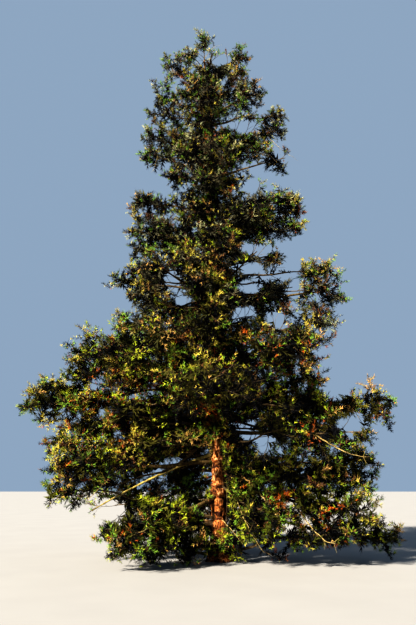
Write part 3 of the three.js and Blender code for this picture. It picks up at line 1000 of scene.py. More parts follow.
def in_clearing(points):
    """True where foliage would stand before the foot of the trunk or the bare bough, which show."""
    x, z = seen_at(points)
    heights, lefts, rights = zip(*TRUNK_WINDOW)
    left = np.interp(z, heights, lefts, OUT_OF_SIGHT, OUT_OF_SIGHT)
    right = np.interp(z, heights, rights, -OUT_OF_SIGHT, -OUT_OF_SIGHT)
    before_trunk = (x > left) & (x < right) & (points[..., 1] < TRUNK_WINDOW_BACK)
    heading = heading_at(BARE_BOUGH["angle"])
    t = points[..., 0] / (heading[0] * BARE_BOUGH["reach"])
    bough = bare_path(np.clip(t, 0, 1))
    level = np.abs(points[..., 2] - bough[..., 2]) < BOUGH_CLEARING["half_height"]
    along = (t > BOUGH_CLEARING["from"]) & (t < BOUGH_CLEARING["to"])
    before_bough = level & along & (points[..., 1] < bough[..., 1] + BOUGH_CLEARING["behind"])
    return before_trunk | before_bough


def in_sun_way(points):
    """True where foliage would keep the sun from the part of the trunk that shows."""
    w = SUN_WAY
    x = points[..., 0] - trunk_axis(points[..., 2])[..., 0]
    out = x * w["heading"][0] + points[..., 1] * w["heading"][1]
    aside = x * w["heading"][1] - points[..., 1] * w["heading"][0]
    height = points[..., 2] - out * w["rise"]
    return (out > w["start"]) & (np.abs(aside) < np.interp(height, w["heights"], w["half_widths"], -1, -1))


def in_gap(points):
    """True where the photograph shows an opening in the crown, whose edge wavers."""
    x, z = seen_at(points)
    low, high = GAP_EDGE
    edge = low + (high - low) * noise(np.stack([x, 0 * x, z], axis=-1) / GAP_WAVE)
    inside = np.zeros(x.shape, bool)
    for middle_x, middle_z, half_x, half_z in CROWN_GAPS:
        inside |= ((x - middle_x) / half_x) ** 2 + ((z - middle_z) / half_z) ** 2 < edge
    return inside


def is_open(point):
    """True where no plume or twig may end."""
    return in_clearing(point) or in_gap(point) or in_sun_way(point)


def inner_points(mass, rng):
    """Points dealt round the limb between the trunk and its mass."""
    length = (mass.start * mass.reach) - INNER_FROM
    count = max(0, round(INNER_PER_METRE * length))
    t = (INNER_FROM + length * (np.arange(count) + 0.5) / max(count, 1)) / mass.reach
    normal, binormal = frames_along(mass.along(t), mass.side)
    angle = rng.uniform(0, FULL_TURN) + np.arange(count) * GOLDEN_ANGLE
    size = rng.uniform(*INNER_REACH, count)[:, None]
    around = normal * np.cos(angle)[:, None] + binormal * np.sin(angle)[:, None]
    return mass.path(t) + (around + mass.along(t) * INNER_FORWARD) * size


def grow_plumes(mass, rng):
    """Curves of the plumes of one mass."""
    dense = PLUMES_PER_AREA * (FILLER_SHARE if mass.is_filler else TIER_DENSITY[mass.tier])
    count = max(FEWEST_PLUMES, round(dense * mass.size**PLUME_POWER))
    turn = rng.uniform(0, FULL_TURN)
    half = mass.half * TIER_SPREAD[mass.tier]
    outer = dealt_points(mass.centre, mass.frame, half, count, turn, PLUME_BACK_LIMIT)
    inner = inner_points(mass, rng)
    first = min(INNER_FROM / mass.reach, mass.start + STEM_FIRST)
    t = np.linspace(first, STEM_LAST, STEM_PLACES + 2 * len(inner))
    places, along = mass.path(t), mass.along(t)
    free = np.ones(len(t), bool)
    sag, lift, _ = TIER_HABIT[mass.tier]
    curves = []
    for number, target in enumerate(np.concatenate([outer, inner])):
        is_outer = number < count
        length = PLUME_LENGTH * mass.size if is_outer else np.mean(INNER_REACH)
        root = take_root(places, along, free, target, length)
        reach = (target - places[root]) * (rng.uniform(*PLUME_SHARE) if is_outer else 1)
        tip = places[root] + reach
        length = np.linalg.norm(reach)
        middle = places[root] + reach * 0.5 + along[root] * length * PLUME_BOW - UP * length * sag
        middle = middle + rng.normal(0, PLUME_SCATTER, 3) * length
        tip = tip + UP * length * lift
        tip[2] = max(tip[2], LOWEST_PLUME)
        if not is_open(tip):
            curves.append((places[root], middle, tip))
    return np.array(curves)


def twig_targets(plume, span, rng):
    """Points that a plume's twigs grow towards."""
    centre = bezier(plume[None], np.array([[TWIG_MIDDLE]]))[0][0, 0]
    axis = unit(plume[2] - plume[0])
    normal, binormal = frames_along(axis[None], UP)
    axes = np.stack([axis, normal[0], binormal[0]])
    half = np.array(TWIG_HALF) * max(span, SHORTEST_SPAN)
    count = round(TWIGS_PER_PLUME * (1 - TWIGS_BY_SPAN + TWIGS_BY_SPAN * span / USUAL_SPAN))
    turn = rng.uniform(0, FULL_TURN)
    return dealt_points(centre, axes, half, max(FEWEST_TWIGS, count), turn, TWIG_BACK_LIMIT)


def grow_twigs(plumes, mass, rng):
    """Curves of the twigs on a mass's plumes, and the number of each one's plume."""
    sag, lift, _ = TIER_HABIT[mass.tier]
    curves, owner = [], []
    u = np.linspace(*TWIG_PLACES)[None]
    for number, plume in enumerate(plumes):
        places, along = (x[0] for x in bezier(plume[None], u))
        span = np.linalg.norm(plume[2] - plume[0])
        free = np.ones(len(places), bool)
        for target in twig_targets(plume, span, rng):
            target = target + rng.normal(0, TWIG_SCATTER, 3)
            target[2] = max(target[2], LOWEST_TWIG)
            root = take_root(places, along, free, target, TWIG_LENGTH * max(span, SHORTEST_SPAN))
            if is_open(target):
                continue
            length = np.linalg.norm(target - places[root])
            rise = TWIG_LIFT * lift - TWIG_SAG * sag
            middle = places[root] + along[root] * length * TWIG_BOW + UP * length * rise
            middle = middle + (target - places[root]) * TWIG_AHEAD
            curves.append((places[root], middle, target + UP * length * lift * TWIG_TIP_LIFT))
            owner.append(number)
    return np.array(curves), np.array(owner)


def make_spray(count, last, lengths, spreads, width, ahead, flatness):
    """A spray one unit long on +X, of needles dealt round its axis, each on from the one before. Returns
    vertices and triangles."""
    k = np.arange(count)
    share = k / (count - 1)
    step = last * share
    length = np.interp(share, (0, 1), lengths)
    spread = np.radians(np.interp(share, (0, 1), spreads))
    angle = k * GOLDEN_ANGLE
    flat = 0 * step
    near = np.stack([step, flat, flat], axis=-1)
    far = np.stack([step + width, flat, flat], axis=-1)
    tips = np.stack([
        step + ahead + length * np.cos(spread),
        length * np.sin(spread) * np.cos(angle),
        length * np.sin(spread) * np.sin(angle) * flatness,
    ], axis=-1)
    needles = np.stack([near, far, tips], axis=1).reshape(-1, 3)
    return needles, np.arange(3 * count).reshape(-1, 3)


SHOOT = make_spray(**SHOOT_NEEDLES)
FEATHER = make_spray(**FEATHER_NEEDLES)


def grow_shoots(twigs, tier, rng):
    """Where each shoot on the twigs starts, its direction, length, roll and curl."""
    count, lengths = TIER_SHOOTS[tier]
    shape = (len(twigs), count)
    curl = TIER_HABIT[tier][2] + rng.normal(0, CURL_SCATTER, len(twigs))
    u = np.linspace(SHOOT_FROM, 1.0, count)[None] + jitter(SHOOT_PLACE_JITTER, shape, rng)
    u = np.clip(u, LOWEST_SHOOT, 1)
    point, tangent = bezier(twigs, u)
    normal, binormal = frames_along(tangent, UP)
    around = rng.uniform(0, FULL_TURN, (len(twigs), 1)) + np.arange(count)[None] * GOLDEN_ANGLE
    around = around + jitter(SHOOT_TURN_JITTER, shape, rng)
    wide, narrow = SHOOT_SPREAD
    spread = np.radians(wide - (wide - narrow) * u**2) + jitter(SHOOT_SPREAD_JITTER, shape, rng)
    sideways = normal * np.cos(around)[..., None] + binormal * np.sin(around)[..., None]
    direction = tangent * np.cos(spread)[..., None] + sideways * np.sin(spread)[..., None]
    direction = unit(direction + UP * (SHOOT_RISE * curl[:, None, None]))
    length = rng.uniform(*lengths, shape) * (SHOOT_TAPER[0] - SHOOT_TAPER[1] * u)
    roll = rng.uniform(0, FULL_TURN, shape)
    bend = curl[:, None] * rng.uniform(*SHOOT_CURL, shape)
    return point.reshape(-1, 3), direction.reshape(-1, 3), length.ravel(), roll.ravel(), bend.ravel()


def jitter(most, shape, rng):
    return rng.uniform(-most, most, shape)


def grow_feathers(mass, plumes, rng):
    """Sprays in painted shade that fill the mass and the crown along its limb, each from a place on the limb
    or a plume, and how far out in the mass each is."""
    count = round(FEATHERS_PER_AREA * mass.size**2)
    turn = rng.uniform(0, FULL_TURN)
    targets = dealt_points(mass.centre, mass.frame, mass.half, count, turn, FEATHER_BACK_LIMIT)
    fill = FEATHER_FILL * rng.uniform(FEATHER_INNERMOST, 1, (count, 1)) ** 0.5
    targets = mass.centre + (targets - mass.centre) * fill
    length = max(mass.start * mass.reach - INNER_FROM, 0)
    count = round(FEATHERS_PER_METRE * length)
    t = (INNER_FROM + length * rng.uniform(0, 1, count)) / mass.reach
    aside = unit(rng.normal(0, 1, (count, 3)) * FEATHER_FLATTENING) * rng.uniform(*FEATHER_ASIDE, (count, 1))
    outward = np.concatenate([fill[:, 0] / FEATHER_FILL, np.zeros(count)])
    targets = np.concatenate([targets, mass.path(t) + aside])
    steps = np.linspace(*FEATHER_PLUME_PLACES)
    on_plumes = bezier(plumes, np.broadcast_to(steps, (len(plumes), len(steps))))[0].reshape(-1, 3)
    on_limb = mass.path(np.linspace(INNER_FROM / mass.reach, *FEATHER_LIMB_PLACES))
    places = np.concatenate([on_limb, on_plumes])
    lengths = rng.uniform(*FEATHER_LENGTH[band_of[mass.tier]], len(targets))
    distance = np.linalg.norm(targets[:, None] - places[None], axis=-1)
    root = places[np.argmin(np.abs(distance - FEATHER_BEHIND * lengths[:, None]), axis=1)]
    direction = unit(targets - root + rng.normal(0, FEATHER_SCATTER, root.shape))
    roll = jitter(FEATHER_ROLL, len(root), rng)
    bend = rng.uniform(*FEATHER_BEND, len(root))
    return (root, direction, lengths, roll, bend), outward


def grow_trunk_feathers(band, rng):
    """Sprays in painted shade on the trunk itself, between the limbs of one band."""
    f = TRUNK_FEATHERS
    count = f["count"]
    low, high = f["heights"]
    height = low + (high - low) * (np.arange(count) + rng.uniform(0, 1, count)) / count
    angle = rng.uniform(0, FULL_TURN, count)
    direction = np.stack([np.cos(angle), np.sin(angle), rng.uniform(*f["rise"], count)], axis=-1)
    here = np.array([band_at(h) == band for h in height])
    root = trunk_axis(height) + direction * (1, 1, 0) * f["depth"] * trunk_radius(height, angle)[:, None]
    length = rng.uniform(*f["length"], count)
    roll = jitter(f["roll"], count, rng)
    bend = rng.uniform(*f["bend"], count)
    return root[here], unit(direction)[here], length[here], roll[here], bend[here]


def spray_mesh(template, point, direction, length, roll, bend):
    """Vertices (n, V, 3) of shoots or feathers."""
    normal, binormal = frames_along(direction, UP)
    c, s = np.cos(roll)[:, None], np.sin(roll)[:, None]
    side, up = normal * c + binormal * s, binormal * c - normal * s
    x, y, z = (template[None, :, i, None] for i in range(3))
    scale = length[:, None, None]
    body = point[:, None] + (direction[:, None] * x + side[:, None] * y + up[:, None] * z) * scale
    return body + UP * (bend[:, None, None] * np.clip(x, 0, None) ** 2 * scale)


def kind_odds(tier):
    odds = np.array([TIER_KINDS[tier].get(name, 0) for name in KINDS], float)
    return odds / odds.sum()


def deal_kinds(tier, plume_count, owner, twig_inside, rng):
    """A kind of colour for each twig: by plume, with some twigs dealt again, and painted shade on most
    inside.
    """
    odds = kind_odds(tier)
    plume_kind = rng.choice(len(KINDS), plume_count, p=odds)
    kinds = plume_kind[owner]
    again = rng.uniform(size=len(owner)) < TWIGS_DEALT_AGAIN
    kinds[again] = rng.choice(len(KINDS), int(again.sum()), p=odds)
    inner = (twig_inside < INNER_SHARE) & (rng.uniform(size=len(owner)) < INNER_PAINTED_SHADE)
    kinds[inner] = PAINTED_SHADE
    return kinds


# Factors on the painted shade, from the pools of painted shadow and painted light
def shade_by_place(points):
    x, z = seen_at(points)
    factors = np.ones(x.shape)
    for middle_x, middle_z, half_x, half_z, factor in SHADE_PATCHES:
        factors[((x - middle_x) / half_x) ** 2 + ((z - middle_z) / half_z) ** 2 < 1] *= factor
    return factors


def deal_shoots(twig_kinds, tier, tips, shade, rng):
    """A kind of colour for each shoot: its twig's, with brown ones and ones in painted shade towards the
    twig's foot, and dead ones in the patches of dead foliage. shade is each twig's share of the tier's
    painted shade."""
    count = TIER_SHOOTS[tier][0]
    kinds = np.repeat(twig_kinds, count)
    again = (rng.uniform(size=len(kinds)) < DEALT_AGAIN) & (kinds != PAINTED_SHADE)
    kinds[again] = rng.choice(len(KINDS), int(again.sum()), p=kind_odds(tier))
    foot = np.tile(np.linspace(1, 0, count), len(twig_kinds))
    draw = rng.uniform(size=len(kinds))
    kinds[draw < FOOT_BROWN * foot] = kind_names.index("umber")
    kinds[draw > 1 - TIER_SHADE[tier] * np.repeat(shade, count) * (SHADE_AT_TIP + foot)] = PAINTED_SHADE
    x, z = seen_at(np.repeat(tips, count, axis=0))
    for middle_x, middle_z, radius, share in RUST_PATCHES:
        dead = (np.hypot(x - middle_x, z - middle_z) < radius) & (draw > 1 - share)
        kinds[dead] = kind_names.index("rust")
    return kinds


by_name = {mass.name: mass for mass in MASSES}


def dead_limb(number, name, place, tip, sag):
    """The ends and points of one dead limb's curve."""
    rng = np.random.default_rng(DEAD_SEED + number)
    start = trunk_axis(place) if name == "trunk" else by_name[name].path(place)
    tip = np.array(tip)
    length = np.linalg.norm(tip - start)
    middle = (start + tip) / 2 - UP * length * sag - BACK * length * DEAD_FORWARD
    ends = np.array([start, middle + rng.normal(0, DEAD_SCATTER, 3) * length, tip])
    u = np.linspace(0, 1, DEAD_PLACES)
    wander = (noise(u[:, None] * DEAD_WAVES + number + np.arange(3)) - 0.5)[:, None]
    return start, tip, bezier(ends[None], u[None])[0][0] + DEAD_WANDER * length * wander


dead_limbs = [dead_limb(number, *row[:4]) for number, row in enumerate(DEAD_LIMBS)]
shown_limbs = [points for _, _, points in dead_limbs[:DEAD_SHOWN]]
sun = unit(np.array([*SUN_WAY["heading"], SUN_WAY["rise"]]))


def before_limb(points):
    """True where foliage would hide a bare limb from the camera, or the bare bough from the sun."""
    x, z = seen_at(points)
    hiding = np.zeros(x.shape, bool)
    for limb in shown_limbs:
        limb_x, limb_z = seen_at(limb)
        gap = np.hypot(x[:, None] - limb_x, z[:, None] - limb_z)
        before = points[:, 1] < limb[gap.argmin(axis=1), 1] + LIMB_BESIDE
        hiding |= (gap.min(axis=1) < LIMB_SHOWS) & before
    for place in bare_path(np.linspace(*BARE_LIT)):
        away = points - place
        out = away @ sun
        hiding |= (out > LIMB_BESIDE) & (np.linalg.norm(away - out[:, None] * sun, axis=1) < LIMB_SUNLIT)
    return hiding


box_low = np.array(cad_low) - SIDE_MARGIN
box_high = np.array(cad_high) + SIDE_MARGIN


def kept(body):
    """True for the sprays that stay in the model's box, above the ground and out of the clearings."""
    inside = np.all(body.min(axis=1) > box_low, axis=-1) & np.all(body.max(axis=1) < box_high, axis=-1)
    middles = body.mean(axis=1)
    clear = np.any(in_clearing(body), axis=1) | in_gap(middles) | in_sun_way(middles) | before_limb(middles)
    return inside & (body[..., 2].min(axis=1) > GROUND_MARGIN) & ~clear


foliage = {(band, kind): [] for band in BANDS for kind in KINDS}
feathers = {(band, place): [] for band in BANDS for place in ("inner", "outer")}
wood = {band: Batch() for band in BANDS}


def add_shoots(mass, plume_count, twigs, owner, rng):
    """Shoots on a mass's twigs, sorted by kind."""
    shares = ((twigs[:, 2] - mass.centre) @ mass.frame.T) / mass.half
    kinds = deal_kinds(mass.tier, plume_count, owner, np.linalg.norm(shares, axis=-1), rng)
    shade = (1 - SHADE_BELOW * np.clip(shares[:, 2], -1, 1)) * rng.uniform(*PLUME_SHADE, plume_count)[owner]
    shade *= shade_by_place(twigs[:, 2])
    body = spray_mesh(SHOOT[0], *grow_shoots(twigs, mass.tier, rng))
    is_inner = np.repeat(kinds == PAINTED_SHADE, TIER_SHOOTS[mass.tier][0])
    share_kept = np.where(is_inner, INNER_KEPT, FILLER_KEPT if mass.is_inside else 1.0)
    keep = (rng.uniform(size=len(body)) <= share_kept) & kept(body)
    kinds = deal_shoots(kinds, mass.tier, twigs[:, 2], shade, rng)
    for i, kind in enumerate(KINDS):
        foliage[band_of[mass.tier], kind].append(body[keep & (kinds == i)])


def add_feathers(mass, plumes, rng):
    """Sprays in painted shade in a mass, the outer ones, in a lighter painted shade, apart."""
    values, outward = grow_feathers(mass, plumes, rng)
    body = spray_mesh(FEATHER[0], *values)
    keep = kept(body)
    is_outer = rng.uniform(DIM_FROM, 1, len(outward)) < outward
    feathers[band_of[mass.tier], "inner"].append(body[keep & ~is_outer])
    feathers[band_of[mass.tier], "outer"].append(body[keep & is_outer])


for number, mass in enumerate(MASSES):
    rng = np.random.default_rng(FIRST_SEED + number)
    plumes = grow_plumes(mass, rng)
    twigs, owner = grow_twigs(plumes, mass, rng)
    wood[band_of[mass.tier]].add(*twig_tubes(plumes, PLUME_RADII, 3, 4))
    wood[band_of[mass.tier]].add(*twig_tubes(twigs, TWIG_RADII, 3, 2))
    add_shoots(mass, len(plumes), twigs, owner, rng)
    add_feathers(mass, plumes, rng)
for band in BANDS:
    body = spray_mesh(FEATHER[0], *grow_trunk_feathers(band, np.random.default_rng(FIRST_SEED)))
    feathers[band, "inner"].append(body[kept(body)])


# Materials

WHITE = (1.0, 1.0, 1.0)
# The sockets of a Mix node that take and give colours
MIX_COLOURS = (6, 7)
MIX_RESULT = 2
# Foliage: the scale, detail and roughness of its patches and of its grain, where on the patches it takes each
# tint, with its factor and its warmth, and the greys of the grain and of the roughness
FOLIAGE_PATCHES = (2.6, 4.0, 0.6)
FOLIAGE_GRAIN = (60.0, 2.0, 0.5)
FOLIAGE_TINTS = [(0.30, 0.62, -0.08), (0.52, 1, 0), (0.72, 1.34, 0.10)]
FOLIAGE_VALUES = [(0.3, 0.72), (0.7, 1.0)]
FOLIAGE_ROUGHNESS = [(0.2, 0.48), (0.8, 0.72)]
FOLIAGE_SPECULAR = 0.04
# Bark: its strips and its patches of painted shadow in the same way, where the patches and the painted shade
# of the crown set in, the greys of its roughness, and the depth of its bump
BARK_STRIPS = (1.0, 6.0, 0.62)
BARK_PATCHES = (1.0, 3.0, 0.5)
PATCH_STRETCH = (4.2, 4.2, 8.0)
PATCH_STOPS = (0.39, 0.49)
CROWN_STOPS = (0.3, 0.7)
BARK_ROUGHNESS = [(0.3, 0.95), (0.7, 0.74)]
BARK_SPECULAR = 0.2
BUMP_DISTANCE = 0.02
# The trunk's darkest colours, where its strips sink in the bump, are partly the bark's own dark fissures and
# partly painted shade in them
TRUNK_STOPS = [
    (0.38, (0.012, 0.004, 0.002)),
    (0.46, (0.160, 0.044, 0.010)),
    (0.55, (0.380, 0.146, 0.037)),
    (0.66, (0.680, 0.420, 0.225)),
]
STUB_STOPS = [
    (0.34, (0.180, 0.080, 0.030)),
    (0.50, (0.600, 0.380, 0.190)),
    (0.66, (0.880, 0.680, 0.430)),
]
# The boughs' colours are the bark's own, darkened further as painted shade
BOUGH_STOPS = [
    (0.30, (0.016, 0.010, 0.004)),
    (0.46, (0.060, 0.038, 0.014)),
    (0.60, (0.120, 0.086, 0.030)),
    (0.74, (0.200, 0.155, 0.066)),
]
BARE_STOPS = [
    (0.28, (0.110, 0.078, 0.024)),
    (0.42, (0.290, 0.225, 0.062)),
    (0.58, (0.430, 0.350, 0.115)),
    (0.74, (0.560, 0.480, 0.220)),
]
DEAD_STOPS = [
    (0.28, (0.110, 0.076, 0.030)),
    (0.42, (0.240, 0.180, 0.070)),
    (0.58, (0.360, 0.285, 0.120)),
    (0.74, (0.480, 0.400, 0.210)),
]
# The twigs' colours are the bark's own, darkened further as painted shade
TWIG_STOPS = [
    (0.30, (0.024, 0.015, 0.008)),
    (0.50, (0.075, 0.052, 0.026)),
    (0.70, (0.190, 0.145, 0.082)),
]
# Each bark: its colours, how finely its strips vary across and along, its bump, the painted shadow of its
# patches, how its strips swirl, and its painted shade in the crown
BARKS = {
    "trunk_bark": (TRUNK_STOPS, 13.0, 7.0, 1.0, (0.10, 0.05, 0.04), 1.6, (0.42, 0.52, 0.62)),
    "stub_wood": (STUB_STOPS, 30.0, 30.0, 0.6, (0.6, 0.5, 0.42), 0.0, WHITE),
    "bough_bark": (BOUGH_STOPS, 26.0, 14.0, 0.7, (0.4, 0.38, 0.36), 0.0, WHITE),
    "bare_bark": (BARE_STOPS, 24.0, 24.0, 0.5, (0.6, 0.57, 0.52), 0.0, WHITE),
    "dead_bark": (DEAD_STOPS, 30.0, 30.0, 0.4, (0.5, 0.46, 0.42), 0.0, WHITE),
    "twig_bark": (TWIG_STOPS, 20.0, 20.0, 0.2, (0.4, 0.38, 0.36), 0.0, WHITE),
}


def new_material(name):
    material = bpy.data.materials.new(name)
    material.use_nodes = True
    nodes, links = material.node_tree.nodes, material.node_tree.links
    return material, nodes, links, nodes["Principled BSDF"]


def noise_node(nodes, links, coordinates, scale, detail, roughness):
    node = nodes.new("ShaderNodeTexNoise")
    node.inputs["Scale"].default_value = scale
    node.inputs["Detail"].default_value = detail
    node.inputs["Roughness"].default_value = roughness
    links.new(coordinates, node.inputs["Vector"])
    return node


def ramp(nodes, links, value, stops):
    """The colour for a value, from stops of a place and a colour or grey."""
    node = nodes.new("ShaderNodeValToRGB")
    elements = node.color_ramp.elements
    while len(elements) < len(stops):
        elements.new(0.5)
    for element, (place, colour) in zip(elements, stops):
        element.position = place
        element.color = (*np.broadcast_to(colour, 3), 1)
    links.new(value, node.inputs["Fac"])
    return node.outputs["Color"]


def multiplied(nodes, links, first, second):
    """The product of two colours."""
    mix = nodes.new("ShaderNodeMix")
    mix.data_type = "RGBA"
    mix.blend_type = "MULTIPLY"
    mix.inputs["Factor"].default_value = 1.0
    links.new(first, mix.inputs[MIX_COLOURS[0]])
    links.new(second, mix.inputs[MIX_COLOURS[1]])
    return mix.outputs[MIX_RESULT]


def stretched(nodes, links, coordinates, scale):
    node = nodes.new("ShaderNodeMapping")
    node.inputs["Scale"].default_value = scale
    links.new(coordinates, node.inputs["Vector"])
    return node.outputs["Vector"]


def tinted(colour, factor, warm):
    return tuple(min(1.0, c * factor * (1 + warm * w)) for c, w in zip(colour, (1, 0, -1)))


def foliage_material(name, colour):
    material, nodes, links, shader = new_material(name)
    coordinates = nodes.new("ShaderNodeTexCoord").outputs["Object"]
    patches = noise_node(nodes, links, coordinates, *FOLIAGE_PATCHES).outputs["Fac"]
    tints = [(place, tinted(colour, factor, warm)) for place, factor, warm in FOLIAGE_TINTS]
    grain = noise_node(nodes, links, coordinates, *FOLIAGE_GRAIN).outputs["Fac"]
    values = ramp(nodes, links, grain, FOLIAGE_VALUES)
    shown = multiplied(nodes, links, ramp(nodes, links, patches, tints), values)
    links.new(shown, shader.inputs["Base Color"])
    links.new(ramp(nodes, links, grain, FOLIAGE_ROUGHNESS), shader.inputs["Roughness"])
    shader.inputs["Specular IOR Level"].default_value = FOLIAGE_SPECULAR
    return material


def crown_painted_shade(nodes, links, coordinates, crown_shade):
    """White low on the tree, turning higher up to the tint, a painted shade for the crown's shadow."""
    parts = nodes.new("ShaderNodeSeparateXYZ")
    links.new(coordinates, parts.inputs["Vector"])
    climb = nodes.new("ShaderNodeMath")
    climb.operation = "DIVIDE"
    links.new(parts.outputs["Z"], climb.inputs[0])
    climb.inputs[1].default_value = TRUNK_HEIGHT
    return ramp(nodes, links, climb.outputs["Value"], list(zip(CROWN_STOPS, (WHITE, crown_shade))))


def bark_material(name, stops, across, along, strength, patch_shade, swirl, crown_shade):
    """Bark in strips: noise drawn out along Z where along is less than across, with patches of painted shadow
    that run round, and painted shade higher in the crown."""
    material, nodes, links, shader = new_material(name)
    coordinates = nodes.new("ShaderNodeTexCoord").outputs["Object"]
    strips_at = stretched(nodes, links, coordinates, (across, across, along))
    strips = noise_node(nodes, links, strips_at, *BARK_STRIPS)
    strips.inputs["Distortion"].default_value = swirl
    patches_at = stretched(nodes, links, coordinates, PATCH_STRETCH)
    patches = noise_node(nodes, links, patches_at, *BARK_PATCHES).outputs["Fac"]
    colour = ramp(nodes, links, strips.outputs["Fac"], stops)
    shade = ramp(nodes, links, patches, list(zip(PATCH_STOPS, (patch_shade, WHITE))))
    shaded = multiplied(nodes, links, colour, shade)
    shown = multiplied(nodes, links, shaded, crown_painted_shade(nodes, links, coordinates, crown_shade))
    links.new(shown, shader.inputs["Base Color"])
    rough = ramp(nodes, links, strips.outputs["Fac"], BARK_ROUGHNESS)
    links.new(rough, shader.inputs["Roughness"])
    shader.inputs["Specular IOR Level"].default_value = BARK_SPECULAR
    bump = nodes.new("ShaderNodeBump")
    bump.inputs["Strength"].default_value = strength
    bump.inputs["Distance"].default_value = BUMP_DISTANCE
    links.new(strips.outputs["Fac"], bump.inputs["Height"])
    links.new(bump.outputs["Normal"], shader.inputs["Normal"])
    return material


barks = {name: bark_material(name, *values) for name, values in BARKS.items()}


def dress(piece, material, slot, nodes):
    """Gives a piece its material and body, and hides the CAD nodes it stands for. slot is not used."""
    piece.data.materials.append(material)
    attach(piece, "root")
    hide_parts(*nodes)


def bark_piece(name, parts, bark, slot, nodes):
    """A piece of one tube with a bark."""
    batch = Batch()
    batch.add(*parts)
    dress(batch.piece(name, True), barks[bark], slot, nodes)


# Trunk and boughs

TRUNK_SIDES = 110
TRUNK_RINGS = 400
RING_POWER = 1.35
# The relief: its depths, how finely it varies round the trunk and upwards, and how the strips wander
RIDGE_DEPTH = 0.010
THREAD_SHARE = 0.5
LUMP_DEPTH = 0.075
KNOB_DEPTH = 0.034
CREASE_DEPTH = 0.022
STRIPS = (7.5, 2.1)
STRIP_CONTRAST = 1.5
THREADS = (17, 4.5)
THREAD_START = 40
LUMPS = (4.2, 4.2, 3.6)
LUMP_START = 9
KNOBS = (11.0, 11.0, 9.0)
KNOB_START = 3
CREASE = (0.46, 0.05)
STRIP_WANDER = 0.05
GROOVE_WAVE = 0.12
# Its share of those depths falls with height, from more than one at the foot
RELIEF_SHARE = (1.15, 0.12)
# Grooves round the trunk: height, half height and depth
GROOVES = [
    (0.95, 0.05, 0.028),
    (1.39, 0.045, 0.05),
    (1.75, 0.05, 0.02),
    (2.16, 0.07, 0.032),
    (2.45, 0.04, 0.02),
]
# The relief of limbs: how finely it varies, and a finer one's factor
LIMB_SPREAD = 17.0
FINER = 3.1
LIMB_DEPTH = 0.006
STEM_DEPTH = 0.004
STUB_SPREAD = 26.0
# Sides and rings of the tubes
STUB_SIDES = 22
STUB_RINGS = 26
BOUGH_SIDES = 14
BOUGH_RINGS = 70
BARE_RINGS = 90
STEM_MESH = (8, 26)
FILLER_MESH = (5, 12)
# The broken end of the stub: how far its splinters reach, and how far it is hollow
SPLINTER_SEED = 5
SPLINTERS = (-0.07, 0.045)
STUB_HOLLOW = 0.05


def around_trunk(angle, height, scale, start=0):
    """Places on a cylinder for noise that varies round the trunk and upwards."""
    across, upwards = scale
    return np.stack([np.cos(angle) * across, np.sin(angle) * across, height * upwards + start], axis=-1)


def trunk_relief(surface, spokes):
    """Long narrow strips of bark, wandering a little to one side as they climb, with lumps and grooves."""
    height = surface[..., 2]
    angle = np.arctan2(spokes[..., 1], spokes[..., 0]) + STRIP_WANDER * height
    strip = 0.5 - np.abs(2 * noise(around_trunk(angle, height, STRIPS)) - 1) * STRIP_CONTRAST
    thread = noise(around_trunk(angle, height, THREADS, THREAD_START)) - 0.5
    lumps = noise(surface * np.array(LUMPS) + LUMP_START)
    crease = np.maximum(0, 1 - np.abs(lumps - CREASE[0]) / CREASE[1])
    knobs = noise(surface * np.array(KNOBS) + KNOB_START) - 0.5
    share = np.clip(RELIEF_SHARE[0] - height / TRUNK_HEIGHT, RELIEF_SHARE[1], 1)
    rough = LUMP_DEPTH * (lumps - 0.5) + KNOB_DEPTH * knobs - CREASE_DEPTH * crease
    for level, half, depth in GROOVES:
        rough = rough - depth * np.exp(-(((height - level - GROOVE_WAVE * (lumps - 0.5)) / half) ** 2))
    return share * (RIDGE_DEPTH * strip + THREAD_SHARE * RIDGE_DEPTH * thread + rough)


def limb_relief(depth, spread=LIMB_SPREAD):
    def relief(surface, spokes):
        fine = noise(surface * spread * FINER) - 0.5
        return depth * (noise(surface * spread) - 0.5) * 2 + 0.5 * depth * fine

    return relief


def make_trunk():
    heights = TRUNK_HEIGHT * np.linspace(0, 1, TRUNK_RINGS) ** RING_POWER
    turns = np.linspace(0, FULL_TURN, TRUNK_SIDES, endpoint=False)
    sizes = trunk_radius(heights[:, None], turns[None, :])
    parts = tube(trunk_axis(heights), sizes, TRUNK_SIDES, BACK, trunk_relief, True)
    parts[0][:TRUNK_SIDES, 2] = 0
    bark_piece("trunk_bark_relief", parts, "trunk_bark", "bark", ["trunk"])


def make_stub():
    """The broken stub, whose end is splintered and hollow."""
    t = np.linspace(0, 1, STUB_RINGS)
    heading = heading_at(STUB["angle"])
    points = trunk_axis(STUB["height"]) + heading * (STUB["length"] * t[:, None])
    points[:, 2] = STUB["height"] + STUB["rise"] * t
    sizes = STUB_SWELLING * (STUB["radius"] + (STUB["tip"] - STUB["radius"]) * t)
    splinter = np.random.default_rng(SPLINTER_SEED).uniform(*SPLINTERS, STUB_SIDES)
    parts = tube(points, sizes, STUB_SIDES, UP, limb_relief(LIMB_DEPTH, STUB_SPREAD))
    parts[0][-STUB_SIDES - 1 : -1] += heading * splinter[:, None]
    parts[0][-1] -= heading * STUB_HOLLOW
    bark_piece("trunk_stub", parts, "stub_wood", "bark", ["trunk"])


def limb_tube(mass, start, end, sides, rings, depth):
    t = np.linspace(start, end, rings)
    return tube(mass.path(t), mass.radius(t), sides, mass.side, limb_relief(depth), True)


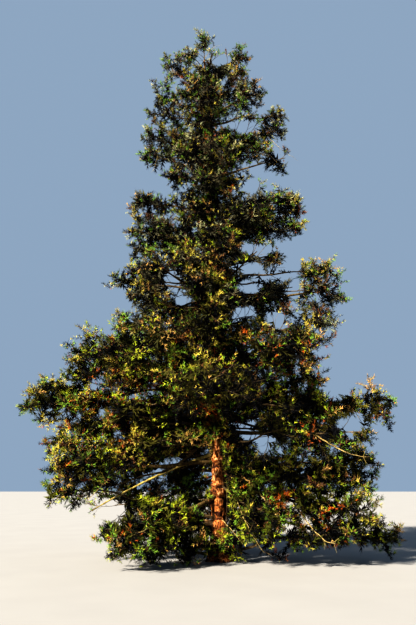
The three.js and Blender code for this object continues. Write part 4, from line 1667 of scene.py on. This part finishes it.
def make_limbs():
    """A bough for each mass that has one, and the stem in every mass."""
    for mass in MASSES:
        if mass.is_main:
            parts = limb_tube(mass, 0, mass.start, BOUGH_SIDES, BOUGH_RINGS, LIMB_DEPTH)
            bark_piece(f"limb_{mass.name}", parts, "bough_bark", "bough_bark", [f"bough_{mass.name}"])
        sides, rings = FILLER_MESH if mass.is_filler else STEM_MESH
        start = mass.start if mass.is_main else 0
        wood[band_of[mass.tier]].add(*limb_tube(mass, start, 1, sides, rings, STEM_DEPTH))


def make_bare_bough():
    t = np.linspace(0, 1, BARE_RINGS)
    sizes = BARE_BOUGH["radius"] + (BARE_BOUGH["tip"] - BARE_BOUGH["radius"]) * t
    parts = tube(bare_path(t), sizes, BOUGH_SIDES, UP, limb_relief(LIMB_DEPTH), True)
    bark_piece("limb_bare", parts, "bare_bark", "bough_bark", ["bough_bare"])


def dead_twigs(start, tip, points, rng):
    """Curves of the bare twigs on a dead limb."""
    roots = points[rng.integers(*DEAD_TWIG_PLACES, DEAD_TWIGS)]
    scatter = rng.normal(0, DEAD_TWIG_SCATTER, (DEAD_TWIGS, 3))
    reach = unit(unit(tip - start) * DEAD_TWIG_AHEAD + scatter)
    tips = roots + reach * rng.uniform(*DEAD_TWIG_LENGTH, (DEAD_TWIGS, 1))
    tips[:, 2] = np.maximum(tips[:, 2], LOWEST_DEAD_TWIG)
    bends = (roots + tips) / 2 - UP * DEAD_TWIG_SAG
    return np.stack([roots, bends, tips], axis=1)


def make_dead_limbs():
    batch = Batch()
    for number, (start, tip, points) in enumerate(dead_limbs):
        radius = DEAD_LIMBS[number][-1]
        sizes = radius * np.linspace(1, DEAD_TIP_SHARE, len(points))
        batch.add(*tube(points, sizes, DEAD_SIDES, UP, None, True))
        curves = dead_twigs(start, tip, points, np.random.default_rng(DEAD_TWIG_SEED + number))
        batch.add(*twig_tubes(curves, [share * radius for share in DEAD_TWIG_RADII], 3, 3))
    names = dict.fromkeys(row[0] for row in DEAD_LIMBS if row[0] != "trunk")
    nodes = [f"foliage_{name}" for name in names]
    dress(batch.piece("limbs_dead", True), barks["dead_bark"], "bough_bark", nodes)


make_trunk()
make_stub()
make_limbs()
make_bare_bough()
make_dead_limbs()


# Pieces of foliage and twigs


def band_nodes(band):
    """The masses of the model that a band's pieces stand for."""
    names = [f"foliage_{mass.name}" for mass in MASSES if band_of[mass.tier] == band]
    return [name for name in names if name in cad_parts]


def sprays_piece(name, template, bodies, material, slot, band):
    vertices, faces = template
    body = np.concatenate(bodies)
    if len(body):
        offsets = (np.arange(len(body)) * len(vertices))[:, None, None]
        piece = make_mesh(name, body.reshape(-1, 3), (faces[None] + offsets).reshape(-1, 3))
        dress(piece, material, slot, band_nodes(band))


for band, batch in wood.items():
    dress(batch.piece(f"twigs_{band}"), barks["twig_bark"], "bough_bark", band_nodes(band))
materials = {kind: foliage_material(f"shoots_{kind}", colour) for kind, colour in KINDS.items()}
for (band, kind), bodies in foliage.items():
    sprays_piece(f"shoots_{band}_{kind}", SHOOT, bodies, materials[kind], KIND_SLOTS[kind], band)
for (band, place), bodies in feathers.items():
    name = f"sprays_{band}_{place}"
    # Inner feathers take the near-black painted shade, outer ones their band's lighter painted shade
    material = materials["deep"] if place == "inner" else foliage_material(name, OUTER_SHADE_COLOURS[band])
    sprays_piece(name, FEATHER, bodies, material, "foliage_dark", band)


# Floor, light and camera

FLOOR_HALF = 400.0
FLOOR_GRAIN = (0.7, 3.0, 0.5)
FLOOR_COLOURS = [(0.3, (0.27, 0.272, 0.28)), (0.7, (0.285, 0.287, 0.295))]
FLOOR_ROUGHNESS = 0.9
SKY_COLOURS = [(0.70, (0.68, 0.89, 1.16)), (0.86, (0.22, 0.28, 0.36))]
SKY_STRENGTH = 0.36
# Angles in degrees
KEY_LIGHT = {"heading": -41, "elevation": 32, "strength": 12.4, "colour": (1.0, 0.90, 0.74), "width": 4}
CAMERA = {"lens": 34.56, "sensor": 36, "clip": 1000, "tilt": 16.4, "heading": 1.05}


def make_floor():
    corners = [(x * FLOOR_HALF, y * FLOOR_HALF, 0) for x, y in ((-1, -1), (1, -1), (1, 1), (-1, 1))]
    floor = make_mesh("floor", corners, [], False, [(0, 1, 2, 3)])
    material, nodes, links, shader = new_material("floor_plain")
    coordinates = nodes.new("ShaderNodeTexCoord").outputs["Object"]
    grain = noise_node(nodes, links, coordinates, *FLOOR_GRAIN).outputs["Fac"]
    links.new(ramp(nodes, links, grain, FLOOR_COLOURS), shader.inputs["Base Color"])
    shader.inputs["Roughness"].default_value = FLOOR_ROUGHNESS
    floor.data.materials.append(material)


def make_light():
    data = bpy.data.lights.new("key", "SUN")
    data.energy = KEY_LIGHT["strength"]
    data.color = KEY_LIGHT["colour"]
    data.angle = math.radians(KEY_LIGHT["width"])
    lamp = bpy.data.objects.new("key", data)
    tilt = math.radians(RIGHT_ANGLE - KEY_LIGHT["elevation"])
    turn = math.radians(KEY_LIGHT["heading"])
    lamp.rotation_euler = Euler((tilt, 0, turn))
    bpy.context.scene.collection.objects.link(lamp)


def make_world():
    world = bpy.data.worlds.new("studio")
    world.use_nodes = True
    nodes, links = world.node_tree.nodes, world.node_tree.links
    background = nodes["Background"]
    parts = nodes.new("ShaderNodeSeparateXYZ")
    links.new(nodes.new("ShaderNodeTexCoord").outputs["Generated"], parts.inputs["Vector"])
    links.new(ramp(nodes, links, parts.outputs["Z"], SKY_COLOURS), background.inputs["Color"])
    background.inputs["Strength"].default_value = SKY_STRENGTH
    bpy.context.scene.world = world


def make_camera():
    data = bpy.data.cameras.new("camera")
    data.lens = CAMERA["lens"]
    data.sensor_width = CAMERA["sensor"]
    data.clip_end = CAMERA["clip"]
    camera = bpy.data.objects.new("camera", data)
    camera.location = CAMERA_PLACE
    tilt = math.radians(RIGHT_ANGLE + CAMERA["tilt"])
    camera.rotation_euler = Euler((tilt, 0, math.radians(CAMERA["heading"])))
    bpy.context.scene.collection.objects.link(camera)
    bpy.context.scene.camera = camera


bpy.context.scene.view_settings.view_transform = "Standard"
bpy.context.scene.view_settings.look = "High Contrast"
make_floor()
make_light()
make_world()
make_camera()
